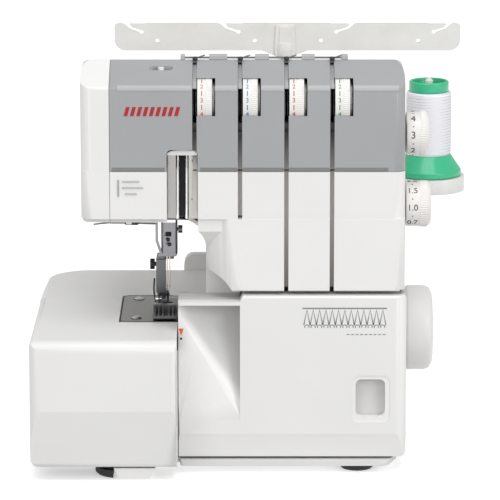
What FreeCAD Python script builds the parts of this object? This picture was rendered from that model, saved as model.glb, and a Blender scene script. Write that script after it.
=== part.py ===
"""Household four-thread serger (overlock machine), one STEP file for each sub-part.

Millimetres, +Z up, +X to the operator's right, +Y away from the operator.
The origin is on the floor, under the middle of the whole machine.
"""
import FreeCAD, Part
import math
import os

V = FreeCAD.Vector

# ---------------------------------------------------------------- driving dimensions
WALL = 2.5                # moulded cover wall
SEAM = 0.3                # gap between neighbouring covers
RUNNING = 0.05            # radial clearance of a shaft in its hole

BED_TOP = 100.5           # sewing surface
BODY_BOTTOM = 9.8         # lower edge of the covers
PAN_TOP = 9.2
PAN_BOTTOM = 5.6

HEAD_LEFT = -120.5
HEAD_RIGHT = 101.2
HEAD_TOP = 285.0
HEAD_FRONT = -102.0
HEAD_CREST_Y = -73.0      # where the front bevel meets the sloping top
HEAD_BACK = 46.0
BEVEL_Z = 270.0           # lower edge of the front bevel
ARM_BOTTOM = 176.0
ARM_STEP = 179.0          # the column is set back below this height
PANEL_BOTTOM = 212.0      # grey panel above, white cover below
PANEL_WRAP_Z = 253.0      # above this the panel wraps right round the corner
FACE_SEAM = -100.5        # left end cap
COVER_BOTTOM = 129.6      # lower edge of the front cover
COVER_FOOT_Y = -105.0     # the front cover leans forward down to this
COLUMN_LEFT = -35.0
COLUMN_BACK = 62.0
THROAT_R = 19.0           # fillet between the arm and the column
BODY_RIGHT = 103.4        # right side at the base
SIDE_SEAM_Y = -90.0       # the front pieces wrap round the corner to here
SIDE_SEAM_X = 92.0
REAR_SEAM_Y = -70.0

REAR_Y = 100.0            # back of the lower housing
HUMP_FRONT = 86.0
HUMP_LEFT = -53.5
HUMP_TOP = 113.0

PLATE_LEFT = -155.5       # cloth plate
PLATE_RIGHT = -54.8
PLATE_FRONT = -138.0
PLATE_BACK = -4.0
PLATE_CREASE_Z = 52.0
PLATE_UNDERCUT = 8.0
PLATE_SWING_R = 6.0       # rear-left corner, rounded about the hinge pin

LOOPER_LEFT = -54.0       # looper cover
LOOPER_FRONT = -108.0
LOOPER_TOP = 126.0
FLANGE_TOP = 122.0
FLANGE_BACK = -80.0
LOOPER_BOTTOM = 11.0
SCOOP = (-60.0, -11.4, 36.3, 119.4)      # left, right, bottom, top
SCOOP_RAMP = 5.5                         # depth at the top left
SCOOP_EDGE = ((-54.0, 102.3), (-11.3, 39.0))         # where the round gouge starts
SCOOP_R = 65.25
SCOOP_DEPTH = 18.0
GRIP = (68.5, 88.9, 40.0, 67.0)          # finger recess: left, right, bottom, top
GRIP_DEPTH = 8.0
COVER_ROD = (-99.5, 18.0)               # hinge rod: y, z
COVER_ROD_R = 2.5

SLOTS = (-42.4, -11.3, 20.4, 51.7)       # middle of each thread slot
SLOT_WIDTH = 3.0
SLOT_DEPTH = 13.0
SLOT_ENDS = (170.0, ARM_STEP, 120.0, 120.0)          # lower end of each slot
DIAL_AXIS = (-83.5, 258.2)               # tension dials: y, z
DIAL_R = 17.9
DIAL_WINDOW_Z = (250.4, 275.1)
DISC_R = 14.5
PRESSURE_KNOB = (-65.4, -81.7)
PRESSURE_KNOB_R = 2.2
PRESSURE_WELL = ((-73.4, -57.4), (-84.0, -79.4), 273.5)      # x, y, floor
DIAL_WIDTH = 10.0
POST_R = 2.5

RECESS = (-61.5, -40.2, 227.0, -86.0)    # needle-bar recess: left, right, top, back

NEEDLE_BAR = (-61.7, -38.0)              # x, y
NEEDLE_BAR_R = 3.2
NEEDLES_X = (-63.0, -61.2)
PRESSER_BAR = (-62.5, -24.0)
PRESSER_BAR_R = 3.0

SHAFT = (-28.0, 84.7)                    # main shaft: y, z
SHAFT_R = 6.0
SHAFT_RIBS_X = (-30, 26, 68)             # left faces of the frame ribs that carry it
WHEEL_R = 30.0
PULLEY_R = 28.0
MOTOR = (64.0, 46.0)                     # motor shaft: y, z
MOTOR_R = 25.0
MOTOR_PULLEY_R = 8.0
BELT_X = (80.0, 86.0)

SIDE_DIAL_Y = -78.0
STITCH_DIAL_Z = 234.5
FEED_DIAL_Z = 185.0

STAND_Y = 112.0                          # spool stand
STAND_R = 26.0
STAND_ENDS = (-87.5, 129.5)
STAND_Z = (157.0, 168.0)
SPOOL_PINS_X = (-87.5, -15.5, 56.5, 128.5)
SPOOL_PIN_R = 3.0
SPOOL_PIN_TOP = 241.0

POLE_X = 21.3                            # telescopic antenna
POLE_Y = 107.0
POLE_OUTER = (6.0, 5.0, 3.3)
TREE = (-104.5, 150.8, 262.6, 282.4)     # left, right, bottom, top
TREE_EYES = ((-95.4, -84.7), (-24.5, -13.1), (70.9, 59.4), (142.6, 131.4))
TREE_HOLES = (-73.0, -1.0, 48.0, 119.7)

NEEDLE_PLATE = (-95.6, -55.6, -77.6, 2.6)
NEEDLE_PLATE_Z = (97.8, 100.7)
PLATE_PIN = (PLATE_LEFT + PLATE_SWING_R, PLATE_BACK - PLATE_SWING_R)
PLATE_PIN_R = 2.0
UPPER_LOOPER = (-18.0, 66.0)             # rocker shafts: x, z
LOWER_LOOPER = (-38.0, 40.0)
LOOPER_SHAFT_R = 3.0
TAKE_UP = (-14.0, 228.0)                 # cross pins in the arm: y, z
LIFTER = (-2.0, 205.0)
FOOT_PIN = (-22.5, 107.5)                # presser foot ankle pin: y, z


# ---------------------------------------------------------------- shape helpers
PLANES = {
    "xy": (lambda a, b, c: V(a, b, c), V(0, 0, 1)),
    "xz": (lambda a, b, c: V(a, c, b), V(0, 1, 0)),
    "yz": (lambda a, b, c: V(c, a, b), V(1, 0, 0)),
}


def corner(before, point, after):
    """Start, middle and end of the arc that rounds one corner of an outline."""
    here = V(point[0], point[1], 0)
    radius = point[2] if len(point) > 2 else 0
    if radius == 0:
        return here, None, here
    back = (V(before[0], before[1], 0) - here).normalize()
    ahead = (V(after[0], after[1], 0) - here).normalize()
    half = back.getAngle(ahead) / 2
    reach = radius / math.tan(half)
    bisector = (back + ahead).normalize()
    middle = here + bisector * (radius / math.sin(half) - radius)
    return here + back * reach, middle, here + ahead * reach


def prism(plane, points, low, high):
    """Solid with the outline (a, b) or (a, b, corner radius), from low to high."""
    place, normal = PLANES[plane]
    count = len(points)
    corners = []
    for index in range(count):
        corners.append(corner(points[index - 1], points[index], points[(index + 1) % count]))
    edges = []
    for index in range(count):
        start, middle, end = corners[index]
        previous = corners[index - 1][2]
        if (start - previous).Length > 1e-6:
            edges.append(Part.LineSegment(place(previous.x, previous.y, low),
                                          place(start.x, start.y, low)).toShape())
        if middle is not None:
            edges.append(Part.Arc(place(start.x, start.y, low), place(middle.x, middle.y, low),
                                  place(end.x, end.y, low)).toShape())
    return Part.Face(Part.Wire(edges)).extrude(normal * (high - low))


def box(x, y, z):
    """Box between the two values of each pair."""
    return Part.makeBox(x[1] - x[0], y[1] - y[0], z[1] - z[0], V(x[0], y[0], z[0]))


def rounded_box(plane, a, b, c, radius):
    """Box with the four edges along the plane's normal rounded."""
    points = [(a[0], b[0], radius), (a[1], b[0], radius), (a[1], b[1], radius), (a[0], b[1], radius)]
    return prism(plane, points, c[0], c[1])


def rod_x(centre, radius, low, high):
    return Part.makeCylinder(radius, high - low, V(low, centre[0], centre[1]), V(1, 0, 0))


def rod_y(centre, radius, low, high):
    return Part.makeCylinder(radius, high - low, V(centre[0], low, centre[1]), V(0, 1, 0))


def rod_z(centre, radius, low, high):
    return Part.makeCylinder(radius, high - low, V(centre[0], centre[1], low), V(0, 0, 1))


def rod_between(start, end, radius):
    start = V(*start)
    end = V(*end)
    return Part.makeCylinder(radius, (end - start).Length, start, end - start)


def turned(profile, base, axis):
    """Solid of revolution of (radius, height) corners about an axis through base."""
    points = [V(radius, 0, height) for radius, height in profile]
    face = Part.Face(Part.makePolygon(points + points[:1]))
    solid = face.revolve(V(0, 0, 0), V(0, 0, 1), 360)
    solid.Placement = FreeCAD.Placement(V(*base), FreeCAD.Rotation(V(0, 0, 1), V(*axis)))
    return solid


def join(*shapes):
    result = shapes[0]
    for shape in shapes[1:]:
        result = result.fuse(shape)
    return result.removeSplitter()


def group(shapes):
    """Several separate solids kept in one node."""
    return Part.makeCompound(shapes)


def save(node, shape):
    solids = shape.Solids
    kept = solids[0] if len(solids) == 1 else Part.makeCompound(solids)
    kept.exportStep(os.path.join("parts", node + ".step"))


# ---------------------------------------------------------------- main housing
def head_profile(inset):
    """Side view of head and column: (y, z) corners."""
    return [
        (COVER_FOOT_Y + inset, COVER_BOTTOM - 20 * (inset > 0)),
        (HEAD_FRONT + inset, PANEL_BOTTOM),
        (HEAD_FRONT + inset, BEVEL_Z - inset / 2, 3),
        (HEAD_CREST_Y, HEAD_TOP - inset, 3),
        (HEAD_BACK - inset, HEAD_TOP - 28 - inset, 16),
        (COLUMN_BACK - inset, HUMP_TOP),
        (COLUMN_BACK - inset, HUMP_TOP - 1 - 10 * (inset > 0)),
        (HEAD_FRONT + 30, HUMP_TOP - 1 - 10 * (inset > 0)),
        (HEAD_FRONT + 30, COVER_BOTTOM - 20 * (inset > 0)),
    ]


def head_front_view(inset):
    """Front view of head and column with the sewing space left out: (x, z) corners."""
    foot = HUMP_TOP - 20
    return [
        (HEAD_LEFT + inset, ARM_BOTTOM + inset, 4),
        (HEAD_LEFT + inset, HEAD_TOP - inset, 8),
        (HEAD_RIGHT - inset, HEAD_TOP - inset, 9),
        (BODY_RIGHT - 0.6 - inset, foot),
        (COLUMN_LEFT + inset, foot),
        (COLUMN_LEFT + inset, ARM_BOTTOM + inset, THROAT_R + inset),
    ]


def head_plan(inset, left, front, left_radius):
    """Top view: rounds the upright front corners."""
    return [
        (left + inset, front + inset, left_radius),
        (BODY_RIGHT - 1.2 - inset, front + inset, 8),
        (BODY_RIGHT - 1.2 - inset, COLUMN_BACK, 0),
        (left + inset, COLUMN_BACK, 0),
    ]


def head_solid(inset):
    low = HUMP_TOP - 12
    body = prism("yz", head_profile(inset), HEAD_LEFT, BODY_RIGHT)
    body = body.common(prism("xz", head_front_view(inset), COVER_FOOT_Y - 5, COLUMN_BACK))
    upper = prism("xy", head_plan(inset, HEAD_LEFT, HEAD_FRONT, 8), PANEL_BOTTOM, HEAD_TOP + 5)
    middle = prism("xy", head_plan(inset, HEAD_LEFT, COVER_FOOT_Y + 2, 8), ARM_STEP, PANEL_BOTTOM)
    lower = prism("xy", head_plan(inset, COLUMN_LEFT, COVER_FOOT_Y, 25), low, ARM_STEP)
    arm = prism("xy", head_plan(inset, HEAD_LEFT, COVER_FOOT_Y + 6, 8), ARM_BOTTOM - 1, ARM_STEP)
    web_view = [(COVER_FOOT_Y + 4 + inset, ARM_STEP), (COVER_FOOT_Y + 4 + inset, 170), (-80 + inset, 146),
                (COLUMN_BACK, 146), (COLUMN_BACK, ARM_STEP)]
    web = prism("yz", web_view, COLUMN_LEFT - THROAT_R - 1, COLUMN_LEFT + 15)
    return body.common(join(upper, middle, lower, arm, web))


def lower_solid(inset):
    """Housing round the motor and drive, below the column."""
    front_view = [
        (HUMP_LEFT + inset, BODY_BOTTOM - 3 * (inset > 0)),
        (HUMP_LEFT + inset, HUMP_TOP - inset, 9),
        (BODY_RIGHT - 0.3 - inset, HUMP_TOP - inset),
        (BODY_RIGHT - inset, BODY_BOTTOM - 3 * (inset > 0)),
    ]
    side_view = [
        (-40, BODY_BOTTOM - 3 * (inset > 0)),
        (-40, HUMP_TOP - inset),
        (REAR_Y - inset, HUMP_TOP - inset, 8),
        (REAR_Y - inset, BODY_BOTTOM - 3 * (inset > 0)),
    ]
    body = prism("xz", front_view, -40, REAR_Y).common(prism("yz", side_view, HUMP_LEFT, BODY_RIGHT))
    throat_floor = box((HUMP_LEFT - 5, COLUMN_LEFT + inset), (-45, HUMP_FRONT + inset),
                       (BODY_BOTTOM - 5, HUMP_TOP + 5))
    return body.cut(throat_floor)


def housing_shell():
    outer = join(head_solid(0), lower_solid(0))
    inner = join(head_solid(WALL), lower_solid(WALL))
    return outer.cut(inner)


def slot_lane(x, width, depth, low, high):
    """Upright lane behind the front surface, following its shape."""
    side_view = [
        (COVER_FOOT_Y - 3, low),
        (COVER_FOOT_Y - 3, BEVEL_Z + 2),
        (HEAD_CREST_Y - 1, high),
        (HEAD_CREST_Y - 1 + depth, high),
        (HEAD_CREST_Y - 1 + depth, HEAD_TOP - 2.2 - depth * 0.45),
        (HEAD_FRONT + depth + 5, BEVEL_Z - 9),
        (HEAD_FRONT + depth, BEVEL_Z - 18),
        (HEAD_FRONT + depth, low),
    ]
    return prism("yz", side_view, x - width / 2, x + width / 2)


def channel_walls(outer, low, high):
    """The moulded channels behind the four slots, kept inside the outer surface."""
    lanes = [slot_lane(x, SLOT_WIDTH + 3, SLOT_DEPTH + 1.5, low, high) for x in SLOTS]
    return join(*lanes).common(outer)


def slot_voids():
    return [slot_lane(x, SLOT_WIDTH, SLOT_DEPTH, low, HEAD_TOP + 4) for x, low in zip(SLOTS, SLOT_ENDS)]


def dial_voids():
    """Room for each tension dial and its discs, and the hole for its post."""
    voids = []
    for x in SLOTS:
        voids.append(rod_x(DIAL_AXIS, DIAL_R + 0.4, x + 1.5, x + 14.2))
        voids.append(box((x + 1.5, x + 14.2), (-115, DIAL_AXIS[0] - 6), DIAL_WINDOW_Z))
        voids.append(rod_x(DIAL_AXIS, DISC_R + 1, x - 1.5, x + 1.6))
        voids.append(rod_x(DIAL_AXIS, POST_R, x - 8, x + 16))
    return voids


def recess_void():
    """Open recess in front of the needle bar, with an arched top."""
    left, right, top, back = RECESS
    return rounded_box("xz", (left, right), (ARM_BOTTOM - 40, top), (COVER_FOOT_Y - 5, back), 3)


def recess_box():
    """Side walls and back of the needle-bar recess."""
    left, right, top, back = RECESS
    outer = box((left - 1.5, right + 1.5), (HEAD_FRONT + 1, back + 1.5), (ARM_BOTTOM + 0.6, top + 1.5))
    return outer


def front_region(low, high):
    """Space of the front pieces: in front of the rear seam, wrapped round the right corner."""
    main = box((FACE_SEAM + SEAM / 2, SIDE_SEAM_X), (-115, REAR_SEAM_Y), (low, high))
    wrap = box((SIDE_SEAM_X - 1, BODY_RIGHT + 2), (-115, SIDE_SEAM_Y), (low, high))
    return join(main, wrap)


def corner_wrap(grow):
    """Where the tension panel covers the whole right end of the bevel."""
    return box((SIDE_SEAM_X - 1, BODY_RIGHT + 2), (-115, REAR_SEAM_Y + grow),
               (PANEL_WRAP_Z - grow, HEAD_TOP + 2))


def tension_panel(shell, outer):
    low = PANEL_BOTTOM + SEAM / 2
    region = join(front_region(low, HEAD_TOP + 2), corner_wrap(0))
    body = shell.common(region)
    body = join(body, channel_walls(outer, low, HEAD_TOP + 2).common(region))
    body = body.cut(slot_voids() + dial_voids() + [recess_void()])
    across, along, floor = PRESSURE_WELL
    well = rounded_box("xy", across, along, (floor, HEAD_TOP + 5), 2.25)
    cup = rounded_box("xy", (across[0] - 1.5, across[1] + 1.5), (along[0] - 1.5, along[1] + 1.5),
                      (floor - 1.5, HEAD_TOP + 5), 3.7)
    knob_hole = rod_z(PRESSURE_KNOB, PRESSURE_KNOB_R + RUNNING, floor - 5, HEAD_TOP)
    return join(body, cup.common(outer).common(region)).cut([well, knob_hole])


def front_cover(shell, outer):
    high = PANEL_BOTTOM - SEAM / 2
    region = front_region(COVER_BOTTOM, high)
    body = shell.common(region)
    lanes = channel_walls(outer, COVER_BOTTOM, high).common(region)
    pocket = recess_box().common(outer).common(region)
    body = join(body, lanes, pocket)
    arch = rod_y((-38, 118), 23.6, COVER_FOOT_Y - 5, -80)
    hood = rod_y((-38, 118), 26, -79.8, -77.3).common(outer).common(region)
    apron_z = (FLANGE_TOP - 8, COVER_BOTTOM + 2)
    apron = join(box((COLUMN_LEFT, SLOTS[1]), (-79.8, -77.3), apron_z),
                 box((COLUMN_LEFT, COLUMN_LEFT + WALL), (-79.8, REAR_SEAM_Y), apron_z))
    floor = box((COLUMN_LEFT + 1, BODY_RIGHT - 5), (COVER_FOOT_Y + 1.5, REAR_SEAM_Y - 2),
                (COVER_BOTTOM - 1, COVER_BOTTOM + 1))
    body = join(body, hood, apron, floor)
    thread_slit = box((-53.0, -49.2), (RECESS[3] - 2, RECESS[3] + 3), (ARM_BOTTOM + 2, 222))
    return body.cut(slot_voids() + [recess_void(), arch, thread_slit])


def rear_cover(shell):
    region = join(box((FACE_SEAM + SEAM / 2, SIDE_SEAM_X - SEAM), (REAR_SEAM_Y + SEAM, REAR_Y + 5),
                      (HUMP_TOP - 15, HEAD_TOP + 2)),
                  box((HUMP_LEFT - 5, SIDE_SEAM_X - SEAM), (HUMP_FRONT - 30, REAR_Y + 5),
                      (BODY_BOTTOM - 5, HUMP_TOP + 2)),
                  box((COLUMN_LEFT - 1, SIDE_SEAM_X - SEAM), (-40, HUMP_FRONT), (BED_TOP, HUMP_TOP + 2)))
    body = shell.common(region)
    bars = box((-76, -50), (-52, -12), (ARM_BOTTOM - 5, ARM_BOTTOM + 12))
    lifter = box((-66, -58), (30, HEAD_BACK + 20), (205, 244))
    pole = box((POLE_X - 30, POLE_X + 30), (COLUMN_BACK - 9, COLUMN_BACK + 9), (157.8, 167.2))
    return body.cut([bars, lifter, pole])


def face_cover(shell):
    return shell.common(box((HEAD_LEFT - 1, FACE_SEAM - SEAM / 2), (-115, REAR_Y), (ARM_BOTTOM - 5, 290)))


def side_cover(shell):
    region = join(box((SIDE_SEAM_X, BODY_RIGHT + 2), (SIDE_SEAM_Y + SEAM, REAR_Y + 5),
                      (HUMP_TOP - 5, HEAD_TOP + 2)),
                  box((SIDE_SEAM_X, BODY_RIGHT + 2), (-41, REAR_Y + 5), (BODY_BOTTOM - 5, HUMP_TOP)))
    body = shell.common(region)
    skirt_view = [(BODY_RIGHT - 2.5, BODY_BOTTOM), (BODY_RIGHT, BODY_BOTTOM),
                  (BODY_RIGHT - 0.9, 131), (BODY_RIGHT - 3.4, 131)]
    skirt = prism("xz", skirt_view, SIDE_SEAM_Y + SEAM, -39)
    holes = [
        rod_x(SHAFT, SHAFT_R + 2, 90, 110),
        rod_x((SIDE_DIAL_Y, STITCH_DIAL_Z), 4 + RUNNING, 90, 110),
        rod_x((SIDE_DIAL_Y, FEED_DIAL_Z), 4 + RUNNING, 90, 110),
        box((90, 110), (20, 44), (22, 38)),
        box((90, 110), (54, 72), (22, 34)),
    ]
    vents = [rounded_box("yz", (y, y + 4), (132, 152), (95, 110), 1.9) for y in range(-10, 40, 9)]
    return join(body, skirt).cut(holes + vents + [corner_wrap(SEAM)])


def bed_rear_cover():
    def solid(inset):
        plan = [
            (PLATE_LEFT + inset, PLATE_BACK + SEAM - inset),
            (COLUMN_LEFT - SEAM, PLATE_BACK + SEAM - inset),
            (COLUMN_LEFT - SEAM, HUMP_FRONT - SEAM - inset),
            (PLATE_LEFT + 5 + inset, HUMP_FRONT - SEAM - inset, 30 - inset),
        ]
        body = prism("xy", plan, BODY_BOTTOM - inset, BED_TOP - inset)
        front_view = [
            (PLATE_LEFT + inset, BODY_BOTTOM - inset, 5 * (inset == 0)),
            (PLATE_LEFT + inset, BED_TOP - inset, 4),
            (COLUMN_LEFT + 5, BED_TOP - inset),
            (COLUMN_LEFT + 5, BODY_BOTTOM - inset),
        ]
        return body.common(prism("xz", front_view, -20, REAR_Y))
    body = solid(0).cut(solid(WALL))
    front_web = prism("xz", [(PLATE_LEFT + 1.5, 17, 2), (PLATE_LEFT + 1.5, BED_TOP - 1, 3),
                             (-100, BED_TOP - 1), (-100, 17)],
                      PLATE_BACK + SEAM, PLATE_BACK + SEAM + WALL)
    lugs = []
    for low in (30.0, 74.0):
        lug = join(rod_z(PLATE_PIN, 3.4, low, low + 6),
                   box((PLATE_PIN[0] - 3.4, PLATE_PIN[0] + 3.4),
                       (PLATE_PIN[1], PLATE_BACK + SEAM + 1), (low, low + 6)))
        lugs.append(lug.cut(rod_z(PLATE_PIN, PLATE_PIN_R, low - 1, low + 7)))
    body = join(body, front_web, *lugs)
    plate_room = box((NEEDLE_PLATE[0] - 0.4, COLUMN_LEFT + 5), (PLATE_BACK - 5, NEEDLE_PLATE[3] + 0.3),
                     (NEEDLE_PLATE_Z[0] - 12, BED_TOP + 5))
    return body.cut(plate_room)


# ---------------------------------------------------------------- base
def base_pan():
    pan = prism("xy", [(-146, -92, 8), (HUMP_LEFT, -100), (HUMP_LEFT + 1, LOOPER_FRONT - 2, 2),
                       (90.5, LOOPER_FRONT - 2, 7), (98, -90, 6), (98, 94, 8), (-54, 94),
                       (-60, 80), (-146, 80, 24)], PAN_BOTTOM, PAN_TOP)
    ribs = [box((-140, 90), (y, y + 3), (PAN_TOP - 1, PAN_TOP + 2.6)) for y in (-30, 20)]
    return join(pan, *ribs, *rod_brackets())


def base_front_leg():
    leg = prism("xz", [(-98.5, PAN_TOP), (-95, 1.8, 2), (-74, 1.8, 2), (-69.5, PAN_TOP)], -128, -101)
    return leg


def rubber_feet():
    places = [(-94.5, -105, 17.5), (70, -92, 12), (-125, 58, 12), (84, 78, 12), (-20, 82, 12)]
    feet = []
    for x, y, radius in places:
        profile = [(0, 0), (radius - 1.5, 0), (radius, 1.5), (radius, PAN_BOTTOM), (0, PAN_BOTTOM)]
        feet.append(turned(profile, (x, y, 0), (0, 0, 1)))
    leg_room = box((-99, -69), (-129, -100.8), (-1, 12))
    feet[0] = feet[0].cut(leg_room)
    return group(feet)


def machine_frame():
    """Cast frame: bed plate, bearing ribs, column, arm and bar bosses."""
    plate = box((-140, 90), (-25, 34), (12, 16))
    back = box((-30, 90), (30, 90), (12, 16))
    ribs = [box((x, x + 7), (-44, 8), (14, 104)) for x in SHAFT_RIBS_X]
    rail = box((-30, 75), (0, 8), (14, 104))
    column = box((-8, 62), (2, 34), (14, 236))
    arm = box((-92, 62), (-14, 30), (214, 244))
    web = box((-74, -50), (-15, -8), (183, 240))
    lifter_lugs = []
    for x in (-74, -53):
        lifter_lugs.append(box((x, x + 3), (-10, LIFTER[0] + 4), (LIFTER[1] - 4, LIFTER[1] + 4)))
    looper_boss = box((-46, -29), (0, 8), (32, 48))
    bosses = [box((-72, -52), (-46, -10), (z, z + 12)) for z in (183, 232)]
    saddle = box((-2, 46), (52, 76), (14, 24)).cut(rod_x(MOTOR, MOTOR_R, -5, 50))
    left_rib = box((-100, -94), (-72, -5), (12, 97.6))
    rails = [box((-100, -56), (y, y + 10), (86, 97.6)) for y in (-72, -14)]
    tie = box((-58, -24), (-14, -4), (86, 97.6))
    foot_bar = box((-100, -30), (-26, -20), (12, 16))
    cast = join(plate, back, *ribs, rail, column, arm, web, *lifter_lugs, looper_boss, *bosses, saddle,
                left_rib, *rails, tie, foot_bar)
    between_ribs = box((-20, 100), (-60, -15.5), (70, 100))
    kept_ribs = join(*[box((x, x + 7), (-60, 10), (60, 110)) for x in SHAFT_RIBS_X])
    bores = [rod_z(NEEDLE_BAR, NEEDLE_BAR_R + RUNNING, 170, 260),
             rod_z(PRESSER_BAR, PRESSER_BAR_R + RUNNING, 170, 260),
             rod_x(SHAFT, SHAFT_R + 3, -35, 80),
             rod_x(SHAFT, 14, -22, 25),
             between_ribs.cut(kept_ribs),
             rod_y(UPPER_LOOPER, LOOPER_SHAFT_R + RUNNING, -60, 12),
             rod_y(LOWER_LOOPER, LOOPER_SHAFT_R + RUNNING, -60, 12),
             rod_x(LIFTER, 2, -76, -48),
             rod_x(TAKE_UP, 3 + RUNNING, -74, -48),
             rod_x(TAKE_UP, 7.5, -50.5, -45.5),
             box((-66, -58), (-3, 32), (210, 236))]
    return cast.cut(bores)


def shaft_bushes():
    bushes = []
    for x in SHAFT_RIBS_X:
        bush = rod_x(SHAFT, SHAFT_R + 3, x, x + 7).cut(rod_x(SHAFT, SHAFT_R + RUNNING, x - 1, x + 8))
        bushes.append(bush)
    return group(bushes)


def housing_screws():
    """Cover screws on the back and the left end."""
    screws = []
    for x, z in ((-86, 200), (40, 220), (-20, 140), (70, 140)):
        y = 55 if z > 170 else COLUMN_BACK
        screws.append(turned([(0, 0), (3.4, 0), (3.4, 1), (2.4, 2), (0, 2)], (x, y - 1.4, z), (0, 1, 0)))
    for x, z in ((-40, 30), (80, 30), (80, 98), (-40, 98)):
        screws.append(turned([(0, 0), (3.4, 0), (3.4, 1), (2.4, 2), (0, 2)], (x, REAR_Y, z), (0, 1, 0)))
    return group(screws)


# ---------------------------------------------------------------- covers that open
def scoop_solid(grow):
    """Waste scoop: a shallow ramp, and a round gouge that deepens to the right of a slanting edge."""
    left, right, low, high = SCOOP
    foot = low - 1.5 * grow
    roof = high + (2 if grow else 0)
    front = LOOPER_FRONT - 8
    ramp = prism("yz", [(front, foot), (LOOPER_FRONT, foot), (LOOPER_FRONT + SCOOP_RAMP + grow, roof),
                        (front, roof)], left - grow, right + grow)
    (x1, z1), (x2, z2) = SCOOP_EDGE
    run = V(x2 - x1, 0, z2 - z1).normalize()
    across = V(-run.z, 0, run.x)
    stand_off = SCOOP_R - SCOOP_DEPTH
    half_width = math.sqrt(SCOOP_R ** 2 - stand_off ** 2)
    start = V(x1, LOOPER_FRONT - stand_off, z1) + across * half_width - run * 60
    gouge = Part.makeCylinder(SCOOP_R + grow, 240, start, run)
    clip = box((left - grow, right + grow), (front, FLANGE_BACK), (foot, roof))
    return join(ramp, gouge.common(clip))


def looper_cover():
    def solid(inset):
        side_view = [
            (LOOPER_FRONT + 3.5 + inset, LOOPER_BOTTOM - 5 * (inset > 0)),
            (LOOPER_FRONT + inset, 28),
            (LOOPER_FRONT + inset, LOOPER_TOP - inset, 2),
            (SIDE_SEAM_Y - 1 + 0.1 * inset, LOOPER_TOP - inset),
            (SIDE_SEAM_Y - 1 + 0.1 * inset, LOOPER_BOTTOM + 11),
            (SIDE_SEAM_Y - 3.5 + 0.1 * inset, LOOPER_BOTTOM - 5 * (inset > 0)),
        ]
        front_view = [
            (LOOPER_LEFT + inset, LOOPER_BOTTOM - 5 * (inset > 0)),
            (LOOPER_LEFT + inset, FLANGE_TOP - inset, 1),
            (SCOOP[1] + inset, FLANGE_TOP - inset),
            (SCOOP[1] + 2 + inset, LOOPER_TOP - inset, 1),
            (BODY_RIGHT - inset, LOOPER_TOP - inset, 3),
            (BODY_RIGHT + 0.2 - inset, LOOPER_BOTTOM - 5 * (inset > 0), 4 * (inset == 0)),
        ]
        plan = [
            (LOOPER_LEFT + inset, LOOPER_FRONT + inset, 1.5),
            (BODY_RIGHT + 0.2 - inset, LOOPER_FRONT + inset, 8),
            (BODY_RIGHT + 0.2 - inset, -80),
            (LOOPER_LEFT + inset, -80),
        ]
        body = prism("yz", side_view, LOOPER_LEFT, BODY_RIGHT + 1)
        body = body.common(prism("xz", front_view, LOOPER_FRONT, -80))
        return body.common(prism("xy", plan, 0, LOOPER_TOP + 5))
    outer = solid(0)
    inner = solid(WALL).fuse(box((LOOPER_LEFT + WALL, BODY_RIGHT - WALL), (-92, -85), (0, 118)))
    flange = box((LOOPER_LEFT, SCOOP[1] - 0.2), (LOOPER_FRONT + 3, FLANGE_BACK),
                 (FLANGE_TOP - 2.2, FLANGE_TOP))
    scoop_room = box((LOOPER_LEFT, 40), (LOOPER_FRONT + 1, -70), (30, FLANGE_TOP - 0.1))
    scoop_wall = scoop_solid(2.2).common(scoop_room)
    left, right, low, high = GRIP
    grip = rounded_box("xz", (left, right), (low, high), (LOOPER_FRONT - 1, LOOPER_FRONT + GRIP_DEPTH), 4)
    grip_wall = rounded_box("xz", (left - 2, right + 2), (low - 2, high + 2),
                            (LOOPER_FRONT + 1, LOOPER_FRONT + GRIP_DEPTH + 2), 5)
    grip_frame = rounded_box("xz", (left - 2.4, right + 3.4), (low - 3.4, high + 2.7),
                             (LOOPER_FRONT - 1, LOOPER_FRONT + 0.6), 5)
    body = join(outer.cut(inner), flange, scoop_wall, grip_wall)
    knuckles = []
    for x in (-48, 20, 90):
        lug = join(rod_x(COVER_ROD, 4.2, x, x + 8),
                   box((x, x + 8), (LOOPER_FRONT + 3, COVER_ROD[0]), (COVER_ROD[1] - 3, COVER_ROD[1] + 4)))
        knuckles.append(lug)
    body = join(body, *knuckles)
    return body.cut([scoop_solid(0), grip, grip_frame,
                     rod_x(COVER_ROD, COVER_ROD_R + RUNNING, LOOPER_LEFT - 1, BODY_RIGHT + 1)])


def looper_cover_rod():
    """Rod that the looper cover tilts on; it slides sideways in the base brackets with the cover."""
    return rod_x(COVER_ROD, COVER_ROD_R, LOOPER_LEFT + 3, BODY_RIGHT - 3.4)


def rod_brackets():
    """Open-fronted clips, moulded on the base pan, that carry the sliding rod."""
    brackets = []
    for x in (-30, 60):
        reach = box((x, x + 7), (COVER_ROD[0] - 0.6, -80), (COVER_ROD[1] - 3, COVER_ROD[1] + 3.6))
        leg = box((x, x + 7), (-88, -80), (PAN_TOP - 1, COVER_ROD[1]))
        bore = rod_x(COVER_ROD, COVER_ROD_R + RUNNING, x - 1, x + 8)
        brackets.append(join(reach, leg).cut(bore))
    return brackets


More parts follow.
